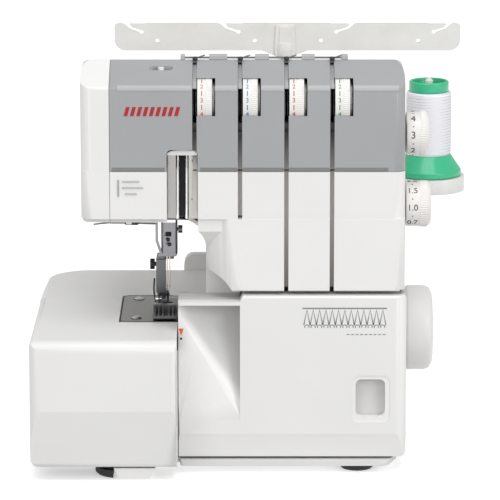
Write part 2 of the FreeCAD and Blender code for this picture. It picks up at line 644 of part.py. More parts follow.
def cloth_plate():
    def solid(inset):
        opened = 6 * (inset > 0)
        plan = [
            (PLATE_LEFT + inset, PLATE_FRONT + inset, 8 - inset),
            (PLATE_RIGHT - inset, PLATE_FRONT + inset, 3),
            (PLATE_RIGHT - inset, LOOPER_FRONT),
            (PLATE_RIGHT + opened, LOOPER_FRONT),
            (PLATE_RIGHT + opened, PLATE_BACK + opened),
            (PLATE_LEFT + inset, PLATE_BACK + opened, PLATE_SWING_R * (inset == 0)),
        ]
        side_view = [
            (PLATE_BACK + opened, BODY_BOTTOM - opened),
            (PLATE_FRONT + PLATE_UNDERCUT + inset, BODY_BOTTOM - opened, 4 * (inset == 0)),
            (PLATE_FRONT + inset, PLATE_CREASE_Z),
            (PLATE_FRONT + inset, BED_TOP - inset, 8.5 - inset),
            (PLATE_BACK + opened, BED_TOP - inset),
        ]
        front_view = [
            (PLATE_LEFT + inset, BODY_BOTTOM - opened, 7 * (inset == 0)),
            (PLATE_LEFT + inset, BED_TOP - inset, 5 - inset / 2),
            (PLATE_RIGHT + opened, BED_TOP - inset),
            (PLATE_RIGHT + opened, BODY_BOTTOM - opened),
        ]
        body = prism("xy", plan, 0, BED_TOP + 1)
        body = body.common(prism("yz", side_view, PLATE_LEFT - 1, PLATE_RIGHT + 8))
        return body.common(prism("xz", front_view, PLATE_FRONT - 1, PLATE_BACK + 8))
    body = solid(0).cut(solid(WALL))
    knuckle_heights = ((18, 29.6), (36.4, 48), (62, 73.6), (80.4, 92))
    knuckles = [rod_z(PLATE_PIN, 5.6, low, high) for low, high in knuckle_heights]
    body = join(body, *knuckles)
    notch = box((NEEDLE_PLATE[0] - 0.4, PLATE_RIGHT + 2), (NEEDLE_PLATE[2] - 0.4, PLATE_BACK + 2),
                (BED_TOP - 6, BED_TOP + 2))
    lug_room = [box((PLATE_PIN[0] - 7, PLATE_PIN[0] + 4.2), (PLATE_PIN[1] - 4.4, PLATE_BACK + 2),
                    (z, z + 6.8))
                for z in (29.6, 73.6)]
    bore = rod_z(PLATE_PIN, PLATE_PIN_R + RUNNING, 14, 96)
    return body.cut([notch, bore] + lug_room)


def pivot_pins():
    """Fixed pins of the cloth plate and of the presser lifter."""
    return group([rod_z(PLATE_PIN, PLATE_PIN_R, 16, 94), rod_x(LIFTER, 2, -74, -50)])


# ---------------------------------------------------------------- stitching parts
def needle_plate():
    left, right, front, back = NEEDLE_PLATE
    plate = prism("xy", [(left, front, 5), (right, front, 1), (right, back, 1), (left, back, 5)],
                  NEEDLE_PLATE_Z[0], NEEDLE_PLATE_Z[1])
    openings = [
        rounded_box("xy", (-70.2, -66.2), (-52, -22), (90, 105), 0.8),
        rounded_box("xy", (-59.4, -56.8), (-52, -22), (90, 105), 0.8),
        rounded_box("xy", (-65.4, -60), (-41.5, -34.5), (90, 105), 0.8),
    ]
    screw_holes = [rod_z((x, y), 2, 90, 105) for x, y in ((-84, -67), (-84, -9))]
    return plate.cut(openings + screw_holes)


def needle_plate_screws():
    screws = []
    for x, y in ((-84, -67), (-84, -9)):
        head = turned([(0, 0), (3.4, 0), (3.4, 0.5), (2.2, 1.2), (0, 1.2)],
                      (x, y, NEEDLE_PLATE_Z[1]), (0, 0, 1))
        slot = box((x - 4, x + 4), (y - 0.4, y + 0.4), (NEEDLE_PLATE_Z[1] + 0.6, NEEDLE_PLATE_Z[1] + 2))
        stem = rod_z((x, y), 2, NEEDLE_PLATE_Z[0], NEEDLE_PLATE_Z[1])
        screws.append(join(head, stem).cut(slot))
    return group(screws)


def feed_dog():
    bars = []
    for low, high in ((-69.8, -66.6), (-59.0, -57.2)):
        teeth = []
        steps = 16
        for step in range(steps):
            y = -50 + step * 1.6
            teeth.append((y, 99.4))
            teeth.append((y + 0.8, 100.4))
        outline = [(-50, 92)] + teeth + [(-24.4, 99.4), (-24.4, 92)]
        bars.append(prism("yz", outline, low, high))
    carrier = box((-72, -57.2), (-34, -24.4), (82, 92.4)).cut(box((-66, -60), (-45, -28), (80, 95)))
    stem = box((-72, -66.6), (-30, -24.4), (70, 83))
    return join(*bars, carrier, stem)


def upper_knife():
    blade = prism("yz", [(-60, 99.5), (-46, 101.5), (-46, 114), (-60, 114)], -54.2, -52.4)
    arm = box((-54.2, -48.2), (-60, -52), (106, 116))
    post = box((-52.4, -46.4), (-60, -53), (60, 112))
    hub = rod_x((-56.5, 56), 6, -52.4, -46.4)
    return join(blade, arm, post, hub)


def lower_knife():
    blade = box((-55.5, -54.5), (-62, -48.2), (88, 100.6))
    holder = box((-58, -54.5), (-62, -48.2), (80, 88))
    return join(blade, holder)


def upper_looper():
    """Rising looper: a bent arm with a finger towards the needles, on a rocker shaft."""
    hub = rod_y(UPPER_LOOPER, 6, -57, -47.8)
    shaft = rod_y(UPPER_LOOPER, LOOPER_SHAFT_R, -57, 9)
    arm = prism("xz", [(-22, 62), (-14, 70), (-36, 94, 6), (-46, 97.2), (-45, 92), (-38, 88, 4)],
                -50.6, -47.8)
    finger = prism("xy", [(-46, -50.6), (-42.6, -50.6), (-42.6, -46), (-47.4, -40.4),
                          (-48, -41), (-46, -45.6)],
                   94.2, 96.2)
    return join(hub, shaft, arm, finger)


def lower_looper():
    """Swinging looper that passes under the needle plate, on a rocker shaft."""
    hub = rod_y(LOWER_LOOPER, 6, -53, -44.6)
    shaft = rod_y(LOWER_LOOPER, LOOPER_SHAFT_R, -53, 9)
    arm = prism("xz", [(-42, 44), (-34, 44), (-36, 76, 5), (-50, 83, 4), (-56.5, 84),
                       (-56, 81.6), (-41, 74, 4)],
                -47.2, -44.6)
    return join(hub, shaft, arm)


def needle_bar():
    bar = rod_z(NEEDLE_BAR, NEEDLE_BAR_R, 158, 272)
    return bar


def needle_clamp():
    block = rounded_box("xy", (-66.3, -56.3), (-44, -34), (141, 166.8), 1)
    window = box((-66.3 + 1.5, -66.3 + 6.2), (-46, -43), (154.6, 157.6))
    holes = [rod_y((-63, z), 0.9, -46, -42.5) for z in (152.8, 149.4)]
    sockets = [rod_z((x, NEEDLE_BAR[1]), 1, 135, 152) for x in NEEDLES_X]
    seat = rod_z(NEEDLE_BAR, NEEDLE_BAR_R, 158, 172)
    foot = box((-69.3, -56.3), (-44, -41), (139.8, 142))
    guide = join(box((-71, -69.2), (-44, -42), (150, 166.8)),
                 prism("xz", [(-71, 151), (-69.2, 151), (-66.2, 142), (-67.6, 140.5)], -44, -42),
                 box((-71, -66), (-44, -42), (165, 166.8)))
    body = join(block, foot, guide)
    return body.cut([window, seat] + holes + sockets)


def needle_clamp_screws():
    screws = []
    for z in (152.8, 149.4):
        screws.append(rod_y((-63, z), 0.9, -43.4, -42.5))
    thumb = turned([(0, 0), (1.2, 0), (1.2, 1.2), (2.8, 1.2), (2.8, 4.2), (0, 4.2)],
                   (-56.3, -39, 158.6), (1, 0, 0))
    screws.append(thumb)
    return group(screws)


def needles():
    pieces = []
    for x in NEEDLES_X:
        profile = [(0, 114), (0.4, 117.5), (0.4, 139), (1, 141), (1, 152), (0, 152)]
        pieces.append(turned(profile, (x, NEEDLE_BAR[1], 0), (0, 0, 1)))
    left, right = pieces
    middle = sum(NEEDLES_X) / 2
    left = left.cut(box((middle - 0.05, middle + 5), (-45, -30), (100, 160)))
    right = right.cut(box((middle - 5, middle + 0.05), (-45, -30), (100, 160)))
    return group([left, right])


def take_up_lever():
    """Thread lever on a cross pin in the arm, reaching to the recess slot."""
    pin = rod_x(TAKE_UP, 3, -73, -49)
    arm = prism("yz", [(-16, 224), (-12, 232), (-40, 226), (-78, 214, 6), (-80, 210), (-76, 208)],
                -49, -46.5)
    hub = rod_x(TAKE_UP, 6, -49.5, -46.5)
    eye = rod_x((-77.4, 211.2), 0.8, -50, -45)
    return join(pin, hub, arm).cut(eye)


def needle_bar_guides():
    """Bright plates and bars in the open recess under the grey panel."""
    back = RECESS[3]
    low = ARM_BOTTOM + 1
    left_plate = box((RECESS[0] + 0.3, -55.4), (back - 4, back), (low, 222.8))
    right_plate = box((-46.6, RECESS[1] - 0.3), (back - 5, back), (low, 222.8))
    bars = [rod_z((x, back - 4.5), 1.1, low, 224) for x in (-54.2, -47.9)]
    hook = join(box((-42.9, -42.3), (back - 7.4, back - 6.8), (190, 205)),
                box((-45, -42.3), (back - 7.4, back - 6.8), (190, 190.6)),
                box((-42.9, -42.3), (back - 7.4, back - 4.9), (204.4, 205)))
    hole = rod_y((-43, 217.5), 1.4, back - 8, back + 1)
    return group([left_plate, join(right_plate, hook).cut(hole)] + bars)


# ---------------------------------------------------------------- presser
def presser_bar():
    return rod_z(PRESSER_BAR, PRESSER_BAR_R, 138, 258)


def foot_holder():
    """Clamp socket on the presser bar, with a shank down its left side to the foot pin."""
    socket = rounded_box("xy", (-66.6, -58.4), (-29.5, -18.5), (134.8, 146), 1)
    shank = rounded_box("xy", (-70.7, -64.2), (-31, -17.5), (113, 136.5), 1)
    front = box((-71, -64.2), (-32.6, -24), (111, 135))
    lug = box((-67.6, -64.4), (FOOT_PIN[0] - 3.2, FOOT_PIN[0] + 3.2), (FOOT_PIN[1] - 2.6, 114))
    body = join(socket, shank, front, lug)
    return body.cut([rod_z(PRESSER_BAR, PRESSER_BAR_R, 138, 160),
                     rod_x(FOOT_PIN, 1.2 + RUNNING, -75, -55)])


def presser_foot():
    sole = prism("yz", [(-78.5, 103.2), (-76, 101.6, 2), (-70, 101), (-24, 101), (-19.5, 102.2),
                        (-19.5, 103.6), (-66, 104.2), (-78.5, 105)], -72.2, -55.9)
    ridges = []
    for x in (-71.4, -68.6, -65.8, -61.6, -58.8):
        ridges.append(prism("yz", [(-78, 103), (-61, 103), (-61, 109), (-64, 109), (-78, 106.4)], x, x + 1))
    bridge = box((-72.2, -55.9), (-64, -61), (103, 109.4))
    ears = [box((x, x + 1.6), (-26, -19.8), (102, 110)) for x in (-69.9, -63.8)]
    pin = rod_x(FOOT_PIN, 1.2, -70.4, -61.8)
    body = join(sole, *ridges, bridge, *ears, pin)
    slot = rounded_box("xy", (-66.2, -59.2), (-46, -30), (99, 108), 1)
    return body.cut(slot)


def presser_thumb_screw():
    profile = [(0, 0), (1.6, 0), (1.6, 1), (3.8, 1), (3.8, 4.2), (0, 4.2)]
    knob = turned(profile, (-71.2, -24, 130), (-1, 0, 0))
    return knob.cut(box((-76, -74.8), (-28, -20), (129.5, 130.5)))


def presser_lifter():
    """Lever on a cross pin, reaching out through the back of the arm."""
    hub = rod_x(LIFTER, 4.5, -69, -55)
    lever = prism("yz", [(-4, 202), (-4, 208), (44, 215.5, 3), (78, 212.4, 1.8), (78, 208, 1.8), (44, 210)],
                  -65, -59)
    return join(hub, lever).cut(rod_x(LIFTER, 2 + RUNNING, -75, -50))


def pressure_dial():
    low = PRESSURE_WELL[2] - 5.5
    screw = rod_z(PRESSURE_KNOB, PRESSURE_KNOB_R, low, low + 13)
    x, y = PRESSURE_KNOB
    return screw.cut(box((x - 3, x + 3), (y - 0.4, y + 0.4), (low + 12, low + 14)))


# ---------------------------------------------------------------- drive
def main_shaft():
    shaft = rod_x(SHAFT, SHAFT_R, -36, 122)
    throws = ((-18, 3, 0), (-6, 0, 3), (8, -3, 0))
    cranks = [rod_x((SHAFT[0] + dy, SHAFT[1] + dz), 10, x, x + 6) for x, dy, dz in throws]
    collar = rod_x(SHAFT, 9, 36, 42)
    pulley = turned([(0, 0), (PULLEY_R + 2, 0), (PULLEY_R + 2, 1.6), (PULLEY_R, 2), (PULLEY_R, 8.6),
                     (PULLEY_R + 2, 9), (PULLEY_R + 2, 10.6), (0, 10.6)],
                    (BELT_X[0] - 2.3, SHAFT[0], SHAFT[1]), (1, 0, 0))
    return join(shaft, *cranks, collar, pulley)


def handwheel():
    profile = [(SHAFT_R, 104.2), (WHEEL_R - 3, 104.2), (WHEEL_R, 107), (WHEEL_R, 119),
               (WHEEL_R - 1.4, 122.6),
               (WHEEL_R - 5, 124.6), (WHEEL_R - 9, 124.4), (WHEEL_R - 12, 123), (SHAFT_R, 123)]
    return turned(profile, (0, SHAFT[0], SHAFT[1]), (1, 0, 0))


def motor():
    case = turned([(4 + RUNNING, -18), (MOTOR_R - 3, -18), (MOTOR_R, -15), (MOTOR_R, 57), (MOTOR_R - 3, 60),
                   (10, 60), (10, 64), (4 + RUNNING, 64)], (0, MOTOR[0], MOTOR[1]), (1, 0, 0))
    return case


def motor_pulley():
    shaft = rod_x(MOTOR, 4, -16, 90)
    pulley = turned([(0, 0), (MOTOR_PULLEY_R + 2, 0), (MOTOR_PULLEY_R, 2), (MOTOR_PULLEY_R, 8.6),
                     (MOTOR_PULLEY_R + 2, 10.6), (0, 10.6)],
                    (BELT_X[0] - 2.3, MOTOR[0], MOTOR[1]), (1, 0, 0))
    return join(shaft, pulley)


def belt_outline(grow):
    """Loop round both pulleys: (wheel centre, radius) tangent lines and arcs."""
    first = V(0, SHAFT[0], SHAFT[1])
    second = V(0, MOTOR[0], MOTOR[1])
    big = PULLEY_R + grow
    small = MOTOR_PULLEY_R + grow
    span = second - first
    heading = math.atan2(span.z, span.y)
    spread = math.acos((big - small) / span.Length)

    def on(centre, radius, angle):
        return V(BELT_X[0], centre.y + radius * math.cos(angle), centre.z + radius * math.sin(angle))
    upper = heading + spread
    lower = heading - spread
    edges = [
        Part.Arc(on(first, big, upper), on(first, big, heading + math.pi), on(first, big, lower)).toShape(),
        Part.LineSegment(on(first, big, lower), on(second, small, lower)).toShape(),
        Part.Arc(on(second, small, lower), on(second, small, heading), on(second, small, upper)).toShape(),
        Part.LineSegment(on(second, small, upper), on(first, big, upper)).toShape(),
    ]
    return Part.Face(Part.Wire(edges)).extrude(V(BELT_X[1] - BELT_X[0], 0, 0))


def drive_belt():
    return belt_outline(2.0).cut(belt_outline(0.3))


# ---------------------------------------------------------------- controls and thread path
def tension_dial(x):
    wheel = rod_x(DIAL_AXIS, DIAL_R, x + 2.0, x + 2.0 + DIAL_WIDTH)
    shoulder = rod_x(DIAL_AXIS, DIAL_R - 5, x + 12, x + 13.6)
    bore = rod_x(DIAL_AXIS, POST_R + RUNNING, x, x + 16)
    return join(wheel, shoulder).cut(bore)


def tension_discs():
    """Post and disc pair of each thread, in its slot."""
    sets = []
    for x in SLOTS:
        post = rod_x(DIAL_AXIS, POST_R, x - 6, x + 15)
        discs = []
        for side in (-1, 1):
            profile = [(0, 0), (DISC_R - 1.5, 0), (DISC_R, side * 0.6), (DISC_R, side),
                       (DISC_R - 2, side * 0.4), (0, side * 0.4)]
            discs.append(turned(profile, (x + side * 0.1, DIAL_AXIS[0], DIAL_AXIS[1]), (1, 0, 0)))
        nut = rod_x(DIAL_AXIS, 5, x - 6, x - 3.2)
        sets.append(join(post, *discs, nut))
    return group(sets)


def top_thread_guide():
    """Steel strip along the crest with a hook at each slot, held in moulded blocks."""
    strip = box((-51, 62), (-72, -69.4), (HEAD_TOP + 0.4, HEAD_TOP + 1.4))
    hooks = []
    for x in SLOTS:
        hooks.append(box((x - 1.2, x + 1.2), (-74.6, -69.4), (HEAD_TOP + 0.2, HEAD_TOP + 1.4)))
        hooks.append(rod_between((x + 1, -72.8, HEAD_TOP + 1), (x + 7, -72.8, HEAD_TOP + 3), 0.5))
    blocks = [box((low, high), (-73.4, -67), (HEAD_TOP - 1.2, HEAD_TOP + 2.6))
              for low, high in ((-52, -49.4), (-32.4, -20.4), (-0.8, 8.4), (31.2, 39.8), (58.4, 62.6))]
    cut_down = head_solid(0)
    return join(strip, *hooks, *blocks).cut(cut_down)


def side_dial(z, radius, width):
    wheel = turned([(0, 0), (radius - 0.6, 0), (radius, 0.8), (radius, width - 2),
                    (radius - 2, width), (0, width)],
                   (102.8, SIDE_DIAL_Y, z), (1, 0, 0))
    stem = rod_x((SIDE_DIAL_Y, z), 4, 88, 104)
    return join(wheel, stem)


def power_switch():
    rocker = prism("xz", [(97, 22.8), (97, 37.2), (103.6, 37.2, 1), (102.2, 30), (104.8, 22.8, 1)],
                   24.3, 39.7)
    pivot = rod_y((99.4, 30), 2, 20.6, 43.4)
    return join(rocker, pivot)


def power_panel():
    """Frame round the rocker switch, and the inlet socket with its two pins."""
    frame = box((96.5, 103.5), (20.0, 44.0), (22.0, 38.0))
    opening = box((95, 110), (24, 40), (21.9, 38.1))
    pivot = rod_y((99.4, 30), 2 + RUNNING, 19, 45)
    frame = frame.cut([opening, pivot])
    block = box((84, 103.4), (54, 72), (22, 34))
    socket = rounded_box("yz", (56, 70), (23.6, 32.4), (90, 110), 2)
    pins = [rod_x((y, 28), 1.2, 90, 97) for y in (60, 66)]
    return group([frame, join(block.cut(socket), *pins)])


def work_lamp():
    """Lamp strip under the arm's front edge."""
    lens = prism("xz", [(-105, 175.4), (-100, 173.4, 3), (-70, 173.4, 1), (-68, 175.4)], -92, -84)
    return lens


# ---------------------------------------------------------------- spool stand and antenna
def spool_stand():
    tray = prism("xy", [(STAND_ENDS[0] - STAND_R, STAND_Y - STAND_R, STAND_R - 0.01),
                        (STAND_ENDS[1] + STAND_R, STAND_Y - STAND_R, STAND_R - 0.01),
                        (STAND_ENDS[1] + STAND_R, STAND_Y + STAND_R, STAND_R - 0.01),
                        (STAND_ENDS[0] - STAND_R, STAND_Y + STAND_R, STAND_R - 0.01)],
                 STAND_Z[0], STAND_Z[1])
    hollow = prism("xy", [(STAND_ENDS[0] - STAND_R + 2.4, STAND_Y - STAND_R + 2.4, STAND_R - 2.5),
                          (STAND_ENDS[1] + STAND_R - 2.4, STAND_Y - STAND_R + 2.4, STAND_R - 2.5),
                          (STAND_ENDS[1] + STAND_R - 2.4, STAND_Y + STAND_R - 2.4, STAND_R - 2.5),
                          (STAND_ENDS[0] - STAND_R + 2.4, STAND_Y + STAND_R - 2.4, STAND_R - 2.5)],
                   STAND_Z[0] - 1, STAND_Z[1] - 3)
    arm = box((POLE_X - 29, POLE_X + 29), (COLUMN_BACK - 4, STAND_Y - STAND_R + 4), (158, 167))
    sockets = [rod_z((x, STAND_Y), 7, STAND_Z[0], STAND_Z[1] - 1) for x in SPOOL_PINS_X]
    pole_boss = rod_z((POLE_X, POLE_Y), 11, STAND_Z[0], STAND_Z[1] + 6)
    body = join(tray.cut(hollow), arm, *sockets, pole_boss)
    holes = [rod_z((x, STAND_Y), SPOOL_PIN_R, STAND_Z[0] + 3, STAND_Z[1] + 5) for x in SPOOL_PINS_X]
    pole_hole = rod_z((POLE_X, POLE_Y), POLE_OUTER[0], STAND_Z[0] + 2, STAND_Z[1] + 10)
    return body.cut(holes + [pole_hole])


def spool_pins():
    pins = []
    for x in SPOOL_PINS_X:
        profile = [(0, STAND_Z[0] + 3), (SPOOL_PIN_R, STAND_Z[0] + 3), (SPOOL_PIN_R, SPOOL_PIN_TOP - 2),
                   (SPOOL_PIN_R - 1.6, SPOOL_PIN_TOP), (0, SPOOL_PIN_TOP)]
        pins.append(turned(profile, (x, STAND_Y, 0), (0, 0, 1)))
    return group(pins)


def spool_holders():
    """Tapered holders that centre a cone on its pin."""
    holders = []
    for x in SPOOL_PINS_X:
        low = STAND_Z[1]
        profile = [(SPOOL_PIN_R, low), (7.5, low), (7.5, low + 2), (5.5, low + 18), (SPOOL_PIN_R, low + 18)]
        holders.append(turned(profile, (x, STAND_Y, 0), (0, 0, 1)))
    return group(holders)


def spool_core():
    low = STAND_Z[1] + 0.3
    profile = [(8, low), (24, low), (24.6, low + 0.8), (24.6, low + 4), (24, low + 4.8), (16.2, low + 16),
               (9.4, low + 16), (9.4, 231), (13.6, 231), (14.7, 232), (14.7, 238.4),
               (14.1, 239), (12.9, 239),
               (12.4, 238.4), (12.4, 233.4), (8, 233.4)]
    return turned(profile, (SPOOL_PINS_X[3], STAND_Y, 0), (0, 0, 1))


def thread_package():
    low = STAND_Z[1] + 16.3
    profile = [(9.4, low), (16.3, low), (16.8, low + 1.4), (16.7, 229), (15.9, 231), (9.4, 231)]
    return turned(profile, (SPOOL_PINS_X[3], STAND_Y, 0), (0, 0, 1))


def antenna_lower():
    tube = rod_z((POLE_X, POLE_Y), POLE_OUTER[0], STAND_Z[0] + 2, 248)
    return tube.cut(rod_z((POLE_X, POLE_Y), POLE_OUTER[1] + RUNNING, STAND_Z[0] + 6, 250))


def antenna_middle():
    tube = rod_z((POLE_X, POLE_Y), POLE_OUTER[1], STAND_Z[0] + 6.5, 252.4)
    collar = rod_z((POLE_X, POLE_Y), POLE_OUTER[0], 248.4, 252.4)
    return join(tube, collar).cut(rod_z((POLE_X, POLE_Y), POLE_OUTER[2] + RUNNING, STAND_Z[0] + 9, 254))


def antenna_upper():
    rod = rod_z((POLE_X, POLE_Y), POLE_OUTER[2], STAND_Z[0] + 14.6, 264)
    collar = rod_z((POLE_X, POLE_Y), 5.6, 252.8, 257.6)
    return join(rod, collar)


def thread_tree():
    """Flat bar with a hook and an eye for each thread."""
    left, right, low, high = TREE
    bar = prism("xz", [(left, low, 8), (left, high, 2), (right, high, 2), (right, low, 8),
                       (POLE_X + 17, low, 4), (POLE_X + 6, 258, 2), (POLE_X - 6, 258, 2),
                       (POLE_X - 17, low, 4)],
                POLE_Y - 1.6, POLE_Y + 1.6)
    socket = rod_z((POLE_X, POLE_Y), 6.4, 257.8, 268)
    lip = box((left + 3, right - 3), (POLE_Y + 1.4, POLE_Y + 6), (high - 1.6, high - 0.2))
    cuts = []
    for mouth, eye in TREE_EYES:
        side = 1 if eye > mouth else -1
        slot = prism("xz", [(mouth - side * 3.4, high + 1), (mouth + side * 2.2, 278.5, 3),
                            (eye - side * 0.4, 275.4),
                            (eye - side * 0.4, 277.6), (mouth + side * 3.6, 280, 2),
                            (mouth + side * 1.2, high + 1)],
                     POLE_Y - 4, POLE_Y + 4)
        cuts.append(slot)
        cuts.append(rod_y((eye, 276.2), 1.7, POLE_Y - 4, POLE_Y + 4))
        cuts.append(box((min(mouth, eye) - 4, max(mouth, eye) + 3), (POLE_Y + 1.6, POLE_Y + 8), (270, 290)))
    for x in TREE_HOLES:
        cuts.append(rod_y((x, 269.7), 1.6, POLE_Y - 4, POLE_Y + 4))
    body = join(bar, socket, lip).cut(cuts)
    return body.cut(rod_z((POLE_X, POLE_Y), POLE_OUTER[2], 250, 264))


# ---------------------------------------------------------------- write every node
def main():
    os.makedirs("parts", exist_ok=True)
    outer = join(head_solid(0), lower_solid(0))
    shell = housing_shell()
    nodes = {
        "base_pan": base_pan(),
        "base_front_leg": base_front_leg(),
        "rubber_feet": rubber_feet(),
        "machine_frame": machine_frame(),
        "shaft_bushes": shaft_bushes(),
        "tension_panel": tension_panel(shell, outer),
        "front_cover": front_cover(shell, outer),
        "rear_cover": rear_cover(shell),
        "face_cover": face_cover(shell),
        "side_cover": side_cover(shell),
        "bed_rear_cover": bed_rear_cover(),
        "housing_screws": housing_screws(),
        "looper_cover": looper_cover(),
        "looper_cover_rod": looper_cover_rod(),
        "cloth_plate": cloth_plate(),
        "pivot_pins": pivot_pins(),
        "needle_plate": needle_plate(),
        "needle_plate_screws": needle_plate_screws(),
        "feed_dog": feed_dog(),
        "upper_knife": upper_knife(),
        "lower_knife": lower_knife(),
        "upper_looper": upper_looper(),
        "lower_looper": lower_looper(),
        "needle_bar": needle_bar(),
        "needle_clamp": needle_clamp(),
        "needle_clamp_screws": needle_clamp_screws(),
        "needles": needles(),
        "take_up_lever": take_up_lever(),
        "needle_bar_guides": needle_bar_guides(),
        "presser_bar": presser_bar(),
        "foot_holder": foot_holder(),
        "presser_foot": presser_foot(),
        "presser_thumb_screw": presser_thumb_screw(),
        "presser_lifter": presser_lifter(),
        "pressure_dial": pressure_dial(),
        "main_shaft": main_shaft(),
        "handwheel": handwheel(),
        "motor": motor(),
        "motor_pulley": motor_pulley(),
        "drive_belt": drive_belt(),
        "tension_discs": tension_discs(),
        "top_thread_guide": top_thread_guide(),
        "stitch_length_dial": side_dial(STITCH_DIAL_Z, 15.0, 15.6),
        "differential_dial": side_dial(FEED_DIAL_Z, 15.6, 17.4),
        "power_switch": power_switch(),
        "power_panel": power_panel(),
        "work_lamp": work_lamp(),
        "spool_stand": spool_stand(),
        "spool_pins": spool_pins(),
        "spool_holders": spool_holders(),
        "spool_core": spool_core(),
        "thread_package": thread_package(),
        "antenna_lower": antenna_lower(),
        "antenna_middle": antenna_middle(),
        "antenna_upper": antenna_upper(),
        "thread_tree": thread_tree(),
    }
    for number, x in enumerate(SLOTS, start=1):
        nodes["tension_dial_%d" % number] = tension_dial(x)
    for node, shape in nodes.items():
        save(node, shape)


main()
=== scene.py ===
import bpy
import bmesh
import math
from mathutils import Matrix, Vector


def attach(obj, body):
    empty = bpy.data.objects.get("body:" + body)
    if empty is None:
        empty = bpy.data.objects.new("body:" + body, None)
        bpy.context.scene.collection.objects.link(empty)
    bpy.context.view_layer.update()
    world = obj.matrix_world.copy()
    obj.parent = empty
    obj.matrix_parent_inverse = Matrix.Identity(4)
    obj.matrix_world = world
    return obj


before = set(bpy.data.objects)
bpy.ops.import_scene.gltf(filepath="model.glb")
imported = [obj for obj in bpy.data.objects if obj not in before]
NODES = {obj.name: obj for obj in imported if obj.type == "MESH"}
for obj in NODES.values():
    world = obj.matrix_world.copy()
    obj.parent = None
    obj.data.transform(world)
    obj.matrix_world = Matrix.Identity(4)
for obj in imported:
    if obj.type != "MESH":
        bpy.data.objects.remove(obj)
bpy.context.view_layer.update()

# Positions below are in millimetres: X to the right, Y to the back, Z up, as in the part itself.
SLOTS_X = (-42.4, -11.3, 20.4, 51.7)    # thread channels, left to right
SLOT_HALF = 1.45                        # half the width of what lies in a channel
DIAL_AXIS = (-83.5, 258.2)              # Y and Z of the tension dials' shared axis
DIAL_R = 17.9
SIDE_DIAL_Y = -78.0
SIDE_DIAL_FACE = 102.8                  # inner end of the two dials on the right side
HEAD_FRONT = -102.0
LOOPER_FRONT = -108.0
PRINT_PROUD = 0.12                      # how far printed marks stand off a cover
PRINT_SUNK = 0.3                        # and how deep they reach into it
INK = 0.05                              # half the thickness of the marks on a dial

# Studio: strengths of the world and the floor, and the three area lights
WORLD_LIGHT = 0.61
FLOOR_GLOW = 0.45
FLOOR_HALF = 6.0                        # metres
FLOOR_CELLS = 8
KEY_WATTS = 15
FILL_WATTS = 26
TOP_WATTS = 20

# Camera: lens and sensor in mm, places in metres
CAMERA_LENS = 244.94
CAMERA_SENSOR = 36.0
CAMERA_SHIFT = -0.019
CAMERA_EYE = (-0.0045, -2.3829, 0.6613)
CAMERA_AIM = (-0.0045, -0.038, 0.150)


def mm(x, y, z):
    return Vector((x, y, z)) / 1000


# ---------------------------------------------------------------- materials
def add(tree, kind, inputs=(), **settings):
    made = tree.nodes.new("ShaderNode" + kind)
    for key, value in settings.items():
        setattr(made, key, value)
    for socket, value in dict(inputs).items():
        if isinstance(value, bpy.types.NodeSocket):
            tree.links.new(value, made.inputs[socket])
        else:
            made.inputs[socket].default_value = value
    return made


def shade(colour, factor):
    return tuple(min(1.0, c * factor) for c in colour) + (1.0,)


def ramp(tree, factor, stops, interpolation="LINEAR"):
    """Colour ramp with (place, colour) stops."""
    made = add(tree, "ValToRGB", {"Fac": factor})
    band = made.color_ramp
    band.interpolation = interpolation
    while len(band.elements) < len(stops):
        band.elements.new(0.5)
    for element, (place, colour) in zip(band.elements, stops):
        element.position = place
        element.color = colour
    return made.outputs["Color"]


def surface(name, colour, rough, metallic=0.0, mottle=0.03, patch=25.0, grain=1400.0, bump=0.25,
            depth=0.00003, stretch=(1, 1, 1), spread=0.05, zones=None, **fixed):
    """Material with broad colour mottling, uneven gloss and a fine moulded or drawn grain.
    zones is (axis, low, high, stops, interpolation), in mm: its colours along that axis multiply the
    mottled one. fixed holds more shader inputs by name."""
    mat = bpy.data.materials.new(name)
    mat.use_nodes = True
    tree = mat.node_tree
    shader = tree.nodes["Principled BSDF"]
    place = add(tree, "TexCoord").outputs["Object"]
    drawn = add(tree, "Mapping", {"Vector": place, "Scale": stretch}).outputs["Vector"]
    broad = add(tree, "TexNoise", {"Vector": drawn, "Scale": patch, "Detail": 3.0}).outputs["Fac"]
    fine = add(tree, "TexNoise", {"Vector": drawn, "Scale": grain, "Detail": 2.0}).outputs["Fac"]
    tone = ramp(tree, broad, [(0.3, shade(colour, 1 - mottle)), (0.7, shade(colour, 1 + mottle))])
    if zones:
        axis, low, high, stops, change = zones
        split = add(tree, "SeparateXYZ", {"Vector": place}).outputs[axis]
        span = add(tree, "MapRange", {"Value": split, "From Min": low / 1000, "From Max": high / 1000})
        bands = ramp(tree, span.outputs["Result"], [(at, c + (1.0,)) for at, c in stops], change)
        blend = add(tree, "MixRGB", {"Fac": 1.0, "Color1": bands, "Color2": tone}, blend_type="MULTIPLY")
        tone = blend.outputs["Color"]
    tree.links.new(tone, shader.inputs["Base Color"])
    gloss = add(tree, "MapRange", {"Value": broad, "To Min": rough - spread, "To Max": rough + spread})
    tree.links.new(gloss.outputs["Result"], shader.inputs["Roughness"])
    relief = add(tree, "Bump", {"Height": fine, "Strength": bump, "Distance": depth})
    tree.links.new(relief.outputs["Normal"], shader.inputs["Normal"])
    shader.inputs["Metallic"].default_value = metallic
    for socket, value in fixed.items():
        shader.inputs[socket.replace("_", " ")].default_value = value
    return mat


